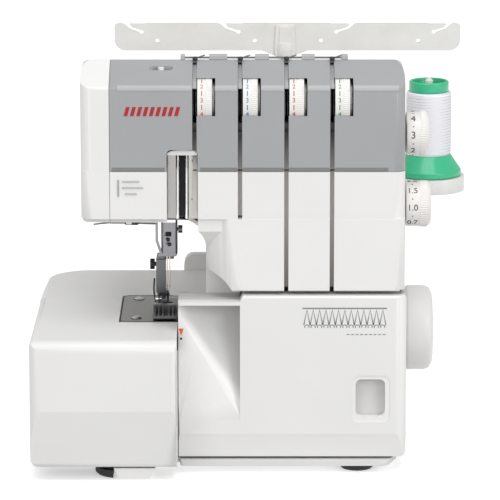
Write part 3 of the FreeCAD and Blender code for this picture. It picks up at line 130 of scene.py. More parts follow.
def wound_thread(name, colour, turns_mm, sheen):
    """Thread wound round an upright axis: fine crossing turns with darker gaps."""
    mat = surface(name, colour, 0.62, mottle=0.05, patch=160.0, grain=2600.0)
    tree = mat.node_tree
    shader = tree.nodes["Principled BSDF"]
    place = add(tree, "TexCoord").outputs["Object"]
    heights = []
    for tilt in (0.045, -0.045):
        turned = add(tree, "Mapping", {"Vector": place, "Rotation": (0.0, tilt, 0.0)}).outputs["Vector"]
        wave = add(tree, "TexWave", {"Vector": turned, "Scale": 500 / turns_mm / 6.2832, "Distortion": 0.6,
                                     "Detail": 1.0, "Detail Scale": 3.0}, bands_direction="Z")
        heights.append(wave.outputs["Fac"])
    both = add(tree, "Math", {0: heights[0], 1: heights[1]}, operation="MAXIMUM").outputs["Value"]
    gaps = ramp(tree, both, [(0.0, shade(colour, 0.72)), (0.55, shade(colour, 1.0))])
    tree.links.new(gaps, shader.inputs["Base Color"])
    relief = add(tree, "Bump", {"Height": both, "Strength": 0.8, "Distance": 0.00012})
    tree.links.new(relief.outputs["Normal"], shader.inputs["Normal"])
    shader.inputs["Sheen Weight"].default_value = sheen
    return mat


WHITE = (0.80, 0.795, 0.785)
GREY = (0.36, 0.365, 0.375)
MAT = {
    "white": surface("moulded_white", WHITE, 0.38, mottle=0.012),
    "white_dial": surface("dial_plastic", (0.82, 0.80, 0.77), 0.42, mottle=0.015),
    "grey": surface("moulded_grey", GREY, 0.34, mottle=0.02),
    "pan": surface("pan_plastic", (0.70, 0.70, 0.69), 0.5, mottle=0.03),
    "rubber": surface("foot_rubber", (0.018, 0.018, 0.019), 0.6, mottle=0.2, grain=2200.0, bump=0.5),
    "cast": surface("cast_alloy", (0.50, 0.51, 0.52), 0.5, 0.9, mottle=0.06, grain=900.0, bump=0.6,
                    depth=0.0001),
    "brass": surface("turned_brass", (0.64, 0.45, 0.19), 0.3, 1.0, stretch=(0.05, 1, 1)),
    "steel": surface("machined_steel", (0.56, 0.56, 0.57), 0.3, 1.0, mottle=0.05, stretch=(1, 1, 0.08)),
    "steel_x": surface("turned_steel", (0.55, 0.55, 0.56), 0.28, 1.0, mottle=0.05, stretch=(0.06, 1, 1)),
    "dark_steel": surface("dark_steel", (0.17, 0.17, 0.175), 0.36, 0.8, mottle=0.08, stretch=(0.1, 1, 1)),
    "plate": surface("needle_plate_steel", (0.31, 0.305, 0.30), 0.33, 0.85, mottle=0.05,
                     stretch=(0.08, 1, 1)),
    "chrome": surface("polished_chrome", (0.76, 0.76, 0.77), 0.12, 1.0, mottle=0.02, bump=0.05,
                      spread=0.03),
    "black": surface("black_plastic", (0.022, 0.022, 0.023), 0.42, mottle=0.15),
    "disc": surface("black_disc", (0.02, 0.02, 0.02), 0.25, 0.3, mottle=0.2, stretch=(1, 1, 0.2)),
    "green": surface("green_plastic", (0.035, 0.50, 0.25), 0.33, mottle=0.05, Coat_Weight=0.3),
    "ivory": surface("tree_plastic", (0.74, 0.735, 0.71), 0.42, mottle=0.03, patch=60.0,
                     Subsurface_Weight=0.25, Subsurface_Radius=(0.004, 0.004, 0.004)),
    "pin": surface("pin_plastic", (0.70, 0.70, 0.68), 0.4, mottle=0.03),
    "lens": surface("lamp_lens", (0.78, 0.78, 0.76), 0.5, mottle=0.03, patch=200.0, Subsurface_Weight=0.3,
                    Subsurface_Radius=(0.003, 0.003, 0.003)),
    "motor": surface("motor_case", (0.16, 0.165, 0.17), 0.45, 0.6, mottle=0.07),
    "bevel_grey": surface("bevel_grey", (0.44, 0.44, 0.44), 0.4, mottle=0.03),
    # bead: a grey lighter than the panel, painted highlight on the crease bead and the channel tops
    "bead": surface("bead_painted_highlight", (0.47, 0.47, 0.475), 0.3, mottle=0.02),
    "lip": surface("lip_grey", (0.20, 0.20, 0.205), 0.4, mottle=0.04),
    "shank": surface("shank_steel", (0.20, 0.205, 0.215), 0.34, 0.8, mottle=0.1, stretch=(1, 1, 0.1)),
    "void": surface("dark_void", (0.012, 0.011, 0.011), 0.7, mottle=0.2),
    "clamp": surface("clamp_alloy", (0.33, 0.33, 0.35), 0.38, 0.85, mottle=0.08, grain=1800.0, bump=0.5),
    "needle": surface("needle_steel", (0.80, 0.68, 0.56), 0.16, 1.0, mottle=0.03, stretch=(1, 1, 0.05)),
    "belt": surface("belt_rubber", (0.03, 0.03, 0.03), 0.65, mottle=0.2),
    "thread": wound_thread("wound_thread", (0.86, 0.855, 0.90), 0.55, 0.3),
    # black_ink_and_shade: printed marks on the dials and looper cover, and painted shade in the cloth
    # plate's gap
    "black_ink_and_shade": surface("black_ink_and_shade", (0.02, 0.02, 0.022), 0.5, mottle=0.1),
    "ink_grey": surface("ink_grey", (0.22, 0.22, 0.225), 0.45, mottle=0.06),
    "ink_light": surface("ink_light", (0.36, 0.36, 0.36), 0.45, mottle=0.06),
    "red": surface("emblem_red", (0.42, 0.006, 0.009), 0.4, mottle=0.06),
    "orange": surface("mark_orange", (0.62, 0.10, 0.03), 0.5, mottle=0.06),
    "blue": surface("mark_blue", (0.03, 0.16, 0.50), 0.5, mottle=0.06),
    "crimson": surface("mark_crimson", (0.48, 0.02, 0.05), 0.5, mottle=0.06),
    "leaf": surface("mark_green", (0.03, 0.32, 0.12), 0.5, mottle=0.06),
}
MAT["guides"] = surface("guide_steel", (0.9, 0.9, 0.9), 0.24, 1.0, mottle=0.05, stretch=(1, 1, 0.05),
                        zones=("X", -62.0, -40.0, [(0.0, (0.40, 0.39, 0.38)), (0.30, (0.85, 0.85, 0.85)),
                                                   (0.66, (0.50, 0.49, 0.46))], "CONSTANT"))
# Painted shade in the thread channels: white darkened along the height of the liners, darkest at the top
# behind the tension discs.
MAT["channel"] = surface("channel_painted_shade", (1.0, 1.0, 1.0), 0.55, mottle=0.04,
                         zones=("Z", 130.0, 240.0, [(0.0, (0.52, 0.49, 0.46)), (0.45, (0.74, 0.70, 0.67)),
                                                    (0.76, (0.60, 0.57, 0.54)),
                                                    (0.96, (0.12, 0.115, 0.11))], "LINEAR"))
# Painted shade on the looper cover: its white is darker towards the bottom of its waste scoop, darkening
# with depth behind the front face, and a little lighter just behind the front as a painted highlight.
SCOOP_PAINTED_SHADE_AND_HIGHLIGHT = [(0.0, (0.99, 0.99, 0.99)), (0.04, (1.03, 1.03, 1.03)), (0.26, (1.05, 1.05, 1.05)),
               (0.48, (0.76, 0.76, 0.76)), (1.0, (0.64, 0.64, 0.64))]
MAT["cover"] = surface("white_with_painted_scoop_shade", WHITE, 0.38, mottle=0.012,
                       zones=("Y", LOOPER_FRONT, -90.0, SCOOP_PAINTED_SHADE_AND_HIGHLIGHT, "LINEAR"))

LOOKS = {
    "white": ["front_cover", "rear_cover", "face_cover", "side_cover", "bed_rear_cover",
              "cloth_plate", "spool_stand", "handwheel", "base_front_leg"],
    "cover": ["looper_cover"],
    "grey": ["tension_panel"],
    "pan": ["base_pan"],
    "rubber": ["rubber_feet"],
    "cast": ["machine_frame"],
    "brass": ["shaft_bushes"],
    "steel": ["housing_screws", "pivot_pins", "feed_dog", "upper_knife", "lower_knife"],
    "shank": ["foot_holder"],
    "steel_x": ["main_shaft", "motor_pulley", "looper_cover_rod"],
    "dark_steel": ["top_thread_guide", "presser_foot", "needle_clamp_screws"],
    "plate": ["needle_plate"],
    "chrome": ["upper_looper", "lower_looper", "needle_bar", "take_up_lever", "presser_bar",
               "antenna_lower", "antenna_middle", "antenna_upper", "needle_plate_screws"],
    "black": ["presser_thumb_screw", "presser_lifter", "power_switch", "power_panel"],
    "disc": ["tension_discs"],
    "green": ["spool_core"],
    "ivory": ["thread_tree"],
    "pin": ["spool_pins", "spool_holders"],
    "lens": ["work_lamp"],
    "motor": ["motor"],
    "clamp": ["needle_clamp"],
    "needle": ["needles"],
    "belt": ["drive_belt"],
    "guides": ["needle_bar_guides"],
    "thread": ["thread_package"],
    "white_dial": ["stitch_length_dial", "differential_dial", "pressure_dial", "tension_dial_1",
                   "tension_dial_2", "tension_dial_3", "tension_dial_4"],
}
# Width of each node's rounded edges, in mm.
SOFT_EDGES = {"front_cover": 0.5, "rear_cover": 0.5, "face_cover": 0.5, "side_cover": 0.4,
              "bed_rear_cover": 0.6, "looper_cover": 0.5, "cloth_plate": 0.6, "tension_panel": 0.5,
              "spool_stand": 0.8, "handwheel": 0.5,
              "thread_tree": 0.4, "stitch_length_dial": 0.4, "differential_dial": 0.4, "needle_clamp": 0.25,
              "foot_holder": 0.3, "presser_foot": 0.2, "needle_plate": 0.2, "base_front_leg": 0.5,
              "base_pan": 0.4, "machine_frame": 0.5, "spool_core": 0.3, "work_lamp": 0.3,
              "upper_knife": 0.2, "lower_knife": 0.2, "presser_lifter": 0.4, "needle_bar_guides": 0.12,
              "top_thread_guide": 0.12}


def soften(thing, width, weld=True):
    """Rounded edges on a hard-surface piece, without touching its mesh."""
    if weld:
        thing.modifiers.new("weld", "WELD").merge_threshold = 0.000002
        flat = thing.modifiers.new("planes", "DECIMATE")
        flat.decimate_type = "DISSOLVE"
        flat.angle_limit = math.radians(0.3)
    edge = thing.modifiers.new("edges", "BEVEL")
    edge.width = width / 1000
    edge.segments = 2
    edge.limit_method = "ANGLE"
    edge.angle_limit = math.radians(35)
    edge.harden_normals = True


def dress_nodes():
    """Materials and rounded edges on the CAD nodes."""
    for look, names in LOOKS.items():
        for name in names:
            mesh = NODES[name].data
            mesh.materials.clear()
            mesh.materials.append(MAT[look])
    for name, width in SOFT_EDGES.items():
        soften(NODES[name], width)


# ---------------------------------------------------------------- building pieces
def settle(thing, mat, body):
    """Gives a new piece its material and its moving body."""
    thing.data.materials.clear()
    thing.data.materials.append(MAT[mat])
    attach(thing, body)
    return thing


def mesh_piece(name, verts, faces, mat, body, smooth=False, edge=0.0):
    """Piece from vertices in mm. edge is the width of its rounded edges."""
    mesh = bpy.data.meshes.new(name)
    mesh.from_pydata([mm(*v) for v in verts], [], faces)
    work = bmesh.new()
    work.from_mesh(mesh)
    bmesh.ops.recalc_face_normals(work, faces=work.faces)
    work.to_mesh(mesh)
    work.free()
    for face in mesh.polygons:
        face.use_smooth = smooth
    thing = bpy.data.objects.new(name, mesh)
    bpy.context.scene.collection.objects.link(thing)
    if edge:
        soften(thing, edge, weld=False)
    return settle(thing, mat, body)


def merge(parts):
    """One (verts, faces) from several."""
    verts, faces = [], []
    for part_verts, part_faces in parts:
        start = len(verts)
        verts += part_verts
        faces += [tuple(start + i for i in face) for face in part_faces]
    return verts, faces


def slab(outline, low, high, plane="xz"):
    """Outline (a, b) carried from low to high along the axis that the plane leaves out."""
    def spot(a, b, c):
        return {"xz": (a, c, b), "xy": (a, b, c), "yz": (c, a, b)}[plane]
    count = len(outline)
    verts = [spot(a, b, low) for a, b in outline] + [spot(a, b, high) for a, b in outline]
    faces = [tuple(range(count)), tuple(range(2 * count - 1, count - 1, -1))]
    for i in range(count):
        j = (i + 1) % count
        faces.append((i, j, count + j, count + i))
    return verts, faces


def rounded(left, right, low, high, radius):
    """Outline of a rounded rectangle."""
    points = []
    steps = 5
    for cx, cy, start in ((right - radius, high - radius, 0), (left + radius, high - radius, 90),
                          (left + radius, low + radius, 180), (right - radius, low + radius, 270)):
        for step in range(steps + 1):
            angle = math.radians(start + 90 * step / steps)
            points.append((cx + radius * math.cos(angle), cy + radius * math.sin(angle)))
    return points


def stroke(points, width, low, high, plane="xz"):
    """Flat line of a given width through (a, b) points, with thickness from low to high."""
    left, right = [], []
    for i, (a, b) in enumerate(points):
        before = points[max(i - 1, 0)]
        after = points[min(i + 1, len(points) - 1)]
        run = Vector((after[0] - before[0], after[1] - before[1])).normalized()
        left.append((a - run.y * width / 2, b + run.x * width / 2))
        right.append((a + run.y * width / 2, b - run.x * width / 2))
    parts = []
    for i in range(len(points) - 1):
        parts.append(slab([left[i], left[i + 1], right[i + 1], right[i]], low, high, plane))
    return merge(parts)


def lathe(profile, base, axis, steps=48, wave=None):
    """Surface turned about an axis ("x", "y" or "z") from (radius, height) points, closed at both ends.
    wave(step) adds to the radius."""
    rows = len(profile)
    verts = []
    for row, (radius, height) in enumerate(profile):
        for step in range(steps):
            angle = 2 * math.pi * step / steps
            r = radius + (wave(step) if wave else 0)
            a, b = r * math.cos(angle), r * math.sin(angle)
            local = {"x": (height, a, b), "y": (a, height, b), "z": (a, b, height)}[axis]
            verts.append(tuple(base[i] + local[i] for i in range(3)))
    faces = []
    for row in range(rows - 1):
        for step in range(steps):
            after = (step + 1) % steps
            faces.append((row * steps + step, row * steps + after, (row + 1) * steps + after,
                          (row + 1) * steps + step))
    faces.append(tuple(range(steps)))
    faces.append(tuple(range((rows - 1) * steps, rows * steps)))
    return verts, faces


def wire(name, points, radius, mat, body):
    """Smoothly bent wire that follows points in mm."""
    curve = bpy.data.curves.new(name, "CURVE")
    curve.dimensions = "3D"
    curve.bevel_depth = radius / 1000
    curve.bevel_resolution = 3
    curve.use_fill_caps = True
    line = curve.splines.new("NURBS")
    line.points.add(len(points) - 1)
    for point, spot in zip(line.points, points):
        point.co = (*mm(*spot), 1.0)
    line.order_u = 3
    line.use_endpoint_u = True
    thing = bpy.data.objects.new(name, curve)
    bpy.context.scene.collection.objects.link(thing)
    return settle(thing, mat, body)


def glyphs(items, size):
    """Flat numerals: items are (text, across, up) in mm; returns verts (across, up, depth) and faces."""
    parts = []
    for text, across, up in items:
        curve = bpy.data.curves.new("numeral", "FONT")
        curve.body = text
        curve.size = size
        curve.align_x = "CENTER"
        curve.align_y = "CENTER"
        curve.extrude = INK
        curve.resolution_u = 3
        holder = bpy.data.objects.new("numeral", curve)
        bpy.context.scene.collection.objects.link(holder)
        bpy.context.view_layer.update()
        made = bpy.data.meshes.new_from_object(holder)
        parts.append(([(v.co.x + across, v.co.y + up, v.co.z) for v in made.vertices],
                      [tuple(face.vertices) for face in made.polygons]))
        bpy.data.meshes.remove(made)
        bpy.data.objects.remove(holder)
        bpy.data.curves.remove(curve)
    return merge(parts)


def round_dial(flat, left, y, z, radius):
    """Wraps (across, up, depth) onto a cylinder about an X axis, facing the front."""
    verts, faces = flat
    bent = []
    for across, up, depth in verts:
        angle = up / radius
        r = radius + depth
        bent.append((left + across, y - r * math.cos(angle), z + r * math.sin(angle)))
    return bent, faces


def tick(across, up, width, height):
    """Flat upright dash between two numerals."""
    outline = [(across - width / 2, up - height / 2), (across + width / 2, up - height / 2),
               (across + width / 2, up + height / 2), (across - width / 2, up + height / 2)]
    return slab(outline, -INK, INK, "xy")


def dot(across, up, radius):
    """Flat dot between two numerals."""
    outline = [(across + radius * math.cos(a * math.pi / 6), up + radius * math.sin(a * math.pi / 6))
               for a in range(12)]
    return slab(outline, -INK, INK, "xy")


# ---------------------------------------------------------------- dials
def knurl(name, left, right, y, z, radius, teeth, height, mat, body):
    """Hollow band of fine ridges round a dial."""
    def ridge(step):
        return height if step % 2 else 0.0
    steps = teeth * 2
    bore = radius - 1.2
    profile = [(radius - 0.6, left), (radius, left + 0.3), (radius, right - 0.3), (radius - 0.6, right)]
    verts, faces = lathe(profile, (0, y, z), "x", steps, ridge)
    faces = faces[:-2]
    inner = len(verts)
    for edge_x in (left, right):
        for step in range(steps):
            angle = math.pi * step / teeth
            verts.append((edge_x, y + bore * math.cos(angle), z + bore * math.sin(angle)))
    for step in range(steps):
        after = (step + 1) % steps
        faces.append((step, after, inner + after, inner + step))
        faces.append((3 * steps + step, 3 * steps + after, inner + steps + after, inner + steps + step))
        faces.append((inner + step, inner + after, inner + steps + after, inner + steps + step))
    return mesh_piece(name, verts, faces, mat, body)


def tension_dials():
    """Numbers, dashes and a knurled band on each of the four tension dials; 3 faces the front."""
    inks = ("orange", "blue", "crimson", "leaf")
    y, z = DIAL_AXIS
    pitch = 9.8
    front_number = 3
    front_up = 3.1
    numeral_size = 4.5
    dash_width, dash_height = 0.6, 3.6
    numbers_at = 5.0
    knurl_at = (7.4, 11.6)
    for index, (x, ink) in enumerate(zip(SLOTS_X, inks), start=1):
        body = "tension_dial_%d" % index
        items = [(str(n), 0.0, front_up + (front_number - n) * pitch) for n in range(0, 10)]
        parts = [glyphs(items, numeral_size)]
        for n in range(0, 9):
            middle = front_up + (front_number - n - 0.5) * pitch
            parts.append(tick(0.0, middle, dash_width, dash_height))
        verts, faces = round_dial(merge(parts), x + numbers_at, y, z, DIAL_R + 0.08)
        mesh_piece("tension_marks_%d" % index, verts, faces, ink, body)
        knurl("tension_knurl_%d" % index, x + knurl_at[0], x + knurl_at[1], y, z, DIAL_R + 0.06, 84, 0.2,
              "white_dial", body)


def side_dial(name, body, z, radius, labels, highest, pitch, width, size):
    """Labels with dots between them and a knurled band on one dial of the right side."""
    across = 4.6
    dot_radius = 0.45
    knurl_start, knurl_inset = 9.6, 2.0
    items = []
    dots = []
    for n, label in enumerate(labels):
        up = highest - n * pitch
        items.append((label, across, up))
        if n:
            dots.append(dot(across, up + pitch / 2, dot_radius))
    flat = merge([glyphs(items, size)] + dots)
    verts, faces = round_dial(flat, SIDE_DIAL_FACE, SIDE_DIAL_Y, z, radius + 0.1)
    mesh_piece(name + "_marks", verts, faces, "black_ink_and_shade", body)
    knurl(name + "_knurl", SIDE_DIAL_FACE + knurl_start, SIDE_DIAL_FACE + width - knurl_inset,
          SIDE_DIAL_Y, z, radius + 0.1, 60, 0.35, "white_dial", body)


def side_dials():
    side_dial("stitch", "stitch_length_dial", 234.5, 15.0, ("5", "4", "3", "2", "1"),
              highest=25.6, pitch=12.3, width=15.6, size=7.0)
    side_dial("feed", "differential_dial", 185.0, 15.6, ("2.0", "1.5", "1.0", "0.7"),
              highest=24.8, pitch=12.4, width=17.4, size=6.2)


# ---------------------------------------------------------------- marks on the covers
def emblem():
    """Generic red trim: a row of slanted stitches."""
    low, high = 250.6, 256.9
    left, pitch, count = -90.6, 4.3, 9
    width, lean = 2.5, 1.7
    parts = []
    for i in range(count):
        x = left + i * pitch
        parts.append(slab([(x, low), (x + width, low), (x + width + lean, high), (x + lean, high)],
                          HEAD_FRONT - 0.25, HEAD_FRONT + PRINT_SUNK))
    verts, faces = merge(parts)
    mesh_piece("panel_emblem", verts, faces, "red", "housing", edge=0.15)


def needle_pictogram():
    """Small printed needle with three wavy thread lines, laid on the leaning front of the arm."""
    front, back = -103.0, -102.55
    threads = ((-92.0, -78.4), (-92.0, -76.6), (-90.0, -80.4))
    top_thread, row_gap = 205.2, 4.2
    ripple, ripple_run = 0.55, 0.8
    panel_low, cover_low, cover_step = 212.0, 129.6, 3.0
    parts = [stroke([(-94.6, 206.5), (-94.6, 197.5), (-94.6, 195.0)], 0.9, front, back)]
    for row, (start, end) in enumerate(threads):
        z = top_thread - row * row_gap
        wave = [(start + i * ripple_run, z + (ripple if i % 2 else -ripple))
                for i in range(int((end - start) / ripple_run))]
        parts.append(stroke(wave, 0.28, front, back))
    verts, faces = merge(parts)
    lean = cover_step / (panel_low - cover_low)
    verts = [(x, y - (panel_low - z) * lean + 0.2, z) for x, y, z in verts]
    mesh_piece("needle_pictogram", verts, faces, "ink_light", "housing")


def stitch_graphic():
    """Generic overlock stitch drawn on the looper cover, over a short row of running stitches."""
    front, back = LOOPER_FRONT - PRINT_PROUD, LOOPER_FRONT + PRINT_SUNK
    top, low = 116.6, 105.6
    loops_left, pitch, loops = 32.5, 4.35, 13
    dashes_left, dash_pitch, dashes, dash_z = 62.0, 3.1, 9, 99.0
    parts = []
    for i in range(loops):
        x = loops_left + i * pitch
        parts.append(stroke([(x, low), (x + pitch * 0.5, top), (x + pitch, low)], 0.85, front, back))
        curl = [(x + pitch * 0.5 + 1.5 * math.sin(a), low - 1.0 + 1.2 * math.cos(a))
                for a in [math.radians(v) for v in range(-130, 131, 20)]]
        parts.append(stroke(curl, 0.6, front, back))
    parts.append(stroke([(31.5, top + 0.9), (60.0, top + 0.9), (89.6, top + 0.9)], 0.9, front, back))
    for i in range(dashes):
        x = dashes_left + i * dash_pitch
        parts.append(stroke([(x, dash_z), (x + 1.0, dash_z), (x + 2.0, dash_z)], 0.6, front, back))
    verts, faces = merge(parts)
    mesh_piece("stitch_graphic", verts, faces, "ink_grey", "looper_cover")


def thread_marks():
    """Orange arrowhead and black dot at the looper cover's left edge."""
    front, back = LOOPER_FRONT - PRINT_PROUD, LOOPER_FRONT + PRINT_SUNK
    verts, faces = slab([(-53.8, 103.2), (-50.2, 103.2), (-52.0, 98.0)], front, back)
    mesh_piece("thread_mark_red", verts, faces, "orange", "looper_cover")
    verts, faces = slab(rounded(-52.8, -51.2, 95.2, 96.8, 0.7), front, back)
    mesh_piece("thread_mark_dot", verts, faces, "black_ink_and_shade", "looper_cover")


# ---------------------------------------------------------------- thread path
def channel_liners():
    """Liners in the four thread channels, painted with the channels' shade: light grey below and dark
    behind the tension discs. Their tops at the crest are in the lighter bead grey, a painted highlight.
    """
    front = HEAD_FRONT + 6.0
    floor = front + 0.9
    lows = (179.6, 180.2, 130.2, 130.2)
    seam_low, seam_high, high = 211.4, 212.6, 238.5
    rise = [(-97.4, 269.4), (-73.4, 281.6), (-73.8, 280.8), (-97.2, 268.5)]
    for index, (x, low) in enumerate(zip(SLOTS_X, lows), start=1):
        left, right = x - SLOT_HALF, x + SLOT_HALF
        verts, faces = merge([slab(rounded(left, right, low, seam_low, 0.5), front, floor),
                              slab(rounded(left, right, seam_high, high, 0.5), front - 0.3, floor)])
        mesh_piece("channel_liner_%d" % index, verts, faces, "channel", "housing")
        verts, faces = slab(rise, left, right, "yz")
        mesh_piece("channel_top_%d" % index, verts, faces, "bead", "housing", edge=0.1)


def panel_trim():
    """Raised bead along the crease of the tension panel, in a lighter grey as a painted highlight, and its
    darker lower lip.
    """
    bead = [(-102.3, 268.0), (-102.3, 269.9), (-99.7, 271.6), (-99.2, 271.0), (-101.3, 269.6),
            (-101.3, 268.0)]
    spans = ((-95.0, -44.2), (-28.4, -13.1), (2.9, 18.6), (34.6, 49.9), (65.9, 97.0))
    for index, (left, right) in enumerate(spans, start=1):
        verts, faces = slab(bead, left, right, "yz")
        mesh_piece("crease_bead_%d" % index, verts, faces, "bead", "housing", edge=0.3)
    lip = ((-99.0, -62.9), (-38.6, -13.1), (-9.5, 18.6), (22.2, 49.9), (53.5, 90.0))
    for index, (left, right) in enumerate(lip, start=1):
        verts, faces = slab(rounded(left, right, 212.4, 214.8, 0.4), HEAD_FRONT - 0.25, HEAD_FRONT + 0.4)
        mesh_piece("panel_lip_%d" % index, verts, faces, "lip", "housing")


def crest_blocks():
    """Moulded blocks and dark studs of the thread guide on the crest."""
    blocks = ((-52.2, -49.2), (-32.6, -20.2), (-1.0, 8.6), (31.0, 40.0), (58.2, 62.8))
    for index, (left, right) in enumerate(blocks, start=1):
        verts, faces = slab(rounded(-73.7, -66.8, 284.6, 288.0, 0.8), left, right, "yz")
        mesh_piece("crest_block_%d" % index, verts, faces, "bevel_grey", "housing", edge=0.2)
    profile = [(1.0, 284.4), (1.7, 285.0), (1.9, 286.6), (1.2, 287.2)]
    for index, x in enumerate(SLOTS_X, start=1):
        verts, faces = lathe(profile, (x + 0.2, -75.2, 0), "z", 20)
        mesh_piece("crest_stud_%d" % index, verts, faces, "black", "housing", smooth=True)


def needle_slot():
    """Dark sheet behind the needle-bar slit, painted shade of the head's inside seen through the slit."""
    verts, faces = slab(rounded(-53.3, -48.7, 177.4, 222.8, 0.6), -86.6, -86.1)
    mesh_piece("needle_slit_painted_shade", verts, faces, "void", "housing")


def tree_boss():
    """Raised boss on the front of the thread tree, over its socket."""
    boss = [(13.2, 262.0), (14.4, 258.2), (17.0, 257.0), (26.0, 257.0), (28.4, 258.2), (29.6, 262.0),
            (28.6, 281.2), (27.0, 282.2), (15.8, 282.2), (14.2, 281.2)]
    verts, faces = slab(boss, 103.9, 105.9)
    mesh_piece("tree_boss", verts, faces, "ivory", "antenna_upper", edge=0.9)
    face = [(16.4, 260.0), (26.4, 260.0), (25.6, 280.6), (17.2, 280.6)]
    verts, faces = slab(face, 103.3, 104.6)
    mesh_piece("tree_boss_face", verts, faces, "ivory", "antenna_upper", edge=0.6)


def arm_thread_guide():
    """Slender wire under the arm with its small clamp block, and the dark sill of the needle-bar recess."""
    points = [(-112.0, -94.0, 173.6), (-104.0, -96.0, 175.0), (-96.0, -97.0, 175.6), (-84.0, -97.5, 175.2),
              (-74.0, -97.5, 174.8), (-69.0, -97.0, 174.6)]
    wire("arm_wire", points, 0.55, "dark_steel", "housing")
    verts, faces = slab(rounded(-90.5, -80.8, 174.0, 177.2, 1.2), -98.6, -95.6)
    mesh_piece("arm_wire_block", verts, faces, "black", "housing", edge=0.3)
    verts, faces = slab(rounded(-89.6, -85.6, 174.5, 176.0, 0.7), -98.9, -98.4)
    mesh_piece("arm_wire_pad", verts, faces, "pin", "housing")
    verts, faces = slab(rounded(-68.4, -47.0, 174.9, 177.4, 0.6), -86.0, -82.6)
    mesh_piece("recess_sill", verts, faces, "dark_steel", "housing", edge=0.2)


def clamp_details():
    """Dark back plate, window and set screws of the needle clamp."""
    back = rounded(-67.0, -55.6, 140.4, 167.2, 0.8)
    verts, faces = slab(back, -42.6, -35.0)
    mesh_piece("clamp_backplate", verts, faces, "black", "needle_bar", edge=0.2)
    verts, faces = slab(rounded(-63.9, -59.8, 154.3, 157.5, 0.3), -44.2, -43.6)
    mesh_piece("clamp_window", verts, faces, "void", "needle_bar")
    profile = [(1.0, -44.9), (1.45, -44.6), (1.45, -43.8), (1.0, -43.6)]
    for index, (x, z) in enumerate(((-62.2, 152.0), (-61.2, 148.6)), start=1):
        verts, faces = lathe(profile, (x, 0, z), "y", 20)
        mesh_piece("clamp_screw_%d" % index, verts, faces, "black", "needle_bar", smooth=True)
    verts, faces = slab(rounded(-65.9, -56.8, 164.2, 166.6, 0.4), -44.3, -43.8)
    mesh_piece("clamp_cap", verts, faces, "chrome", "needle_bar", edge=0.1)


def foot_details():
    """Bright pins and dark spring of the presser foot; a pin is (left, right, y, z, radius)."""
    bars = ((-70.6, -62.8, -28.6, 112.0, 1.5), (-71.6, -66.8, -40.0, 108.2, 1.3),
            (-71.8, -57.2, -57.5, 107.6, 1.4))
    for index, (left, right, y, z, radius) in enumerate(bars, start=1):
        profile = [(radius - 0.4, left), (radius, left + 0.4), (radius, right - 0.4), (radius - 0.4, right)]
        verts, faces = lathe(profile, (0, y, z), "x", 24)
        mesh_piece("foot_pin_%d" % index, verts, faces, "chrome", "presser_foot", smooth=True)
    points = [(-72.2, -30.0, 121.0), (-72.8, -31.0, 115.0), (-72.4, -33.0, 109.5), (-71.4, -38.0, 106.0)]
    wire("foot_spring", points, 0.6, "black", "presser_foot")


def plate_trim():
    """Dark seams round the needle plate and its screws; on the cloth plate's side by the looper cover, a
    black strip of painted shade for the gap between them, over a paler sheet.
    """
    path = [(-60.0, -77.2), (-91.0, -77.2), (-94.2, -75.6), (-95.2, -72.4), (-95.2, -2.6), (-94.2, 0.6),
            (-91.0, 2.2), (-60.0, 2.2)]
    verts, faces = stroke(path, 0.7, 100.62, 100.8, "xy")
    mesh_piece("plate_seam", verts, faces, "void", "housing")
    profile = [(2.2, 100.66), (3.9, 100.74), (3.9, 100.82), (2.2, 100.82)]
    for index, y in enumerate((-67.0, -9.0), start=1):
        verts, faces = lathe(profile, (-84.0, y, 0), "z", 28)
        mesh_piece("plate_screw_ring_%d" % index, verts, faces, "void", "housing")
    left, right = -54.9, -54.5
    # Painted shade: black strip where the gap by the looper cover falls in shade.
    dark = [(-110.4, 88.0), (-110.4, 99.3), (-78.2, 99.6), (-78.2, 88.0)]
    verts, faces = slab(dark, left, right, "yz")
    mesh_piece("cloth_plate_gap_shade", verts, faces, "black_ink_and_shade", "cloth_plate")
    pale = [(-136.6, 12.0), (-136.6, 87.8), (-78.2, 87.8), (-78.2, 12.0)]
    verts, faces = slab(pale, left, right, "yz")
    mesh_piece("cloth_plate_side", verts, faces, "pan", "cloth_plate")


def recess_rim():
    """White hood with a low arched top that closes the needle-bar recess."""
    left, right = -61.3, -40.4
    low, shoulder, rise = 222.9, 224.6, 2.1
    steps = 10
    outline = [(left, low), (right, low)]
    for i in range(steps + 1):
        part = i / steps
        outline.append((right - (right - left) * part, shoulder + rise * math.sin(math.pi * part) ** 0.5))
    verts, faces = slab(outline, -99.6, -87.0)
    mesh_piece("recess_hood", verts, faces, "white", "housing", edge=0.3)


# ---------------------------------------------------------------- scene
def lamp(name, place, target, size, power):
    """Soft rectangular light, in metres and watts."""
    data = bpy.data.lights.new(name, "AREA")
    data.shape = "RECTANGLE"
    data.size, data.size_y = size
    data.energy = power
    thing = bpy.data.objects.new(name, data)
    bpy.context.scene.collection.objects.link(thing)
    thing.location = place
    thing.rotation_euler = (Vector(target) - Vector(place)).to_track_quat("-Z", "Y").to_euler()


def floor_sheet():
    """Pale floor paper in a grid; it glows a little, so that it stays as pale as the backdrop."""
    verts, faces = [], []
    lines = [FLOOR_HALF * (2 * i / FLOOR_CELLS - 1) for i in range(FLOOR_CELLS + 1)]
    for x in lines:
        for y in lines:
            verts.append((x, y, 0.0))
    for i in range(FLOOR_CELLS):
        for j in range(FLOOR_CELLS):
            corner = i * (FLOOR_CELLS + 1) + j
            faces.append((corner, corner + FLOOR_CELLS + 1, corner + FLOOR_CELLS + 2, corner + 1))
    mesh = bpy.data.meshes.new("studio_floor")
    mesh.from_pydata(verts, [], faces)
    floor = bpy.data.objects.new("studio_floor", mesh)
    bpy.context.scene.collection.objects.link(floor)
    mesh.materials.append(surface("floor_paper", (0.86, 0.86, 0.86), 0.9, mottle=0.005,
                                  Specular_IOR_Level=0.1, Emission_Color=(1.0, 1.0, 1.0, 1.0),
                                  Emission_Strength=FLOOR_GLOW))
    floor.visible_diffuse = False


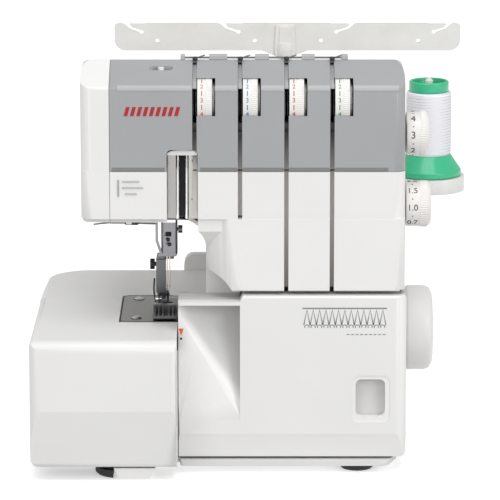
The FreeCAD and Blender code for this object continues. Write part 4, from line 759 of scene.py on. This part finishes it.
def backdrop():
    """White world: full white where the camera sees it, dimmer as a light."""
    world = bpy.data.worlds.new("studio_world")
    bpy.context.scene.world = world
    world.use_nodes = True
    tree = world.node_tree
    lit = tree.nodes["Background"]
    lit.inputs["Color"].default_value = (1.0, 1.0, 1.0, 1.0)
    lit.inputs["Strength"].default_value = WORLD_LIGHT
    seen = add(tree, "Background", {"Strength": 1.0})
    seen.inputs["Color"].default_value = (1.0, 1.0, 1.0, 1.0)
    chooser = tree.nodes.new("ShaderNodeMixShader")
    ray = add(tree, "LightPath").outputs["Is Camera Ray"]
    tree.links.new(ray, chooser.inputs[0])
    tree.links.new(lit.outputs[0], chooser.inputs[1])
    tree.links.new(seen.outputs[0], chooser.inputs[2])
    tree.links.new(chooser.outputs[0], tree.nodes["World Output"].inputs["Surface"])


def studio():
    floor_sheet()
    backdrop()
    lamp("key_light", (-1.5, -2.6, 1.7), (0, 0, 0.18), (1.4, 1.4), KEY_WATTS)
    lamp("fill_light", (1.9, -2.2, 1.3), (0, 0, 0.18), (1.4, 1.4), FILL_WATTS)
    lamp("top_light", (0.0, -1.0, 2.4), (0, 0, 0.2), (1.8, 1.2), TOP_WATTS)
    bpy.context.scene.view_settings.view_transform = "Standard"


def camera():
    """Long lens from the front and a little above."""
    data = bpy.data.cameras.new("photo_camera")
    data.lens = CAMERA_LENS
    data.sensor_width = CAMERA_SENSOR
    data.shift_y = CAMERA_SHIFT
    data.clip_end = 50.0
    thing = bpy.data.objects.new("photo_camera", data)
    bpy.context.scene.collection.objects.link(thing)
    eye = Vector(CAMERA_EYE)
    thing.location = eye
    thing.rotation_euler = (Vector(CAMERA_AIM) - eye).to_track_quat("-Z", "Y").to_euler()
    bpy.context.scene.camera = thing


camera()
studio()
dress_nodes()
tension_dials()
side_dials()
emblem()
needle_pictogram()
stitch_graphic()
thread_marks()
channel_liners()
panel_trim()
crest_blocks()
tree_boss()
needle_slot()
arm_thread_guide()
clamp_details()
foot_details()
plate_trim()
recess_rim()
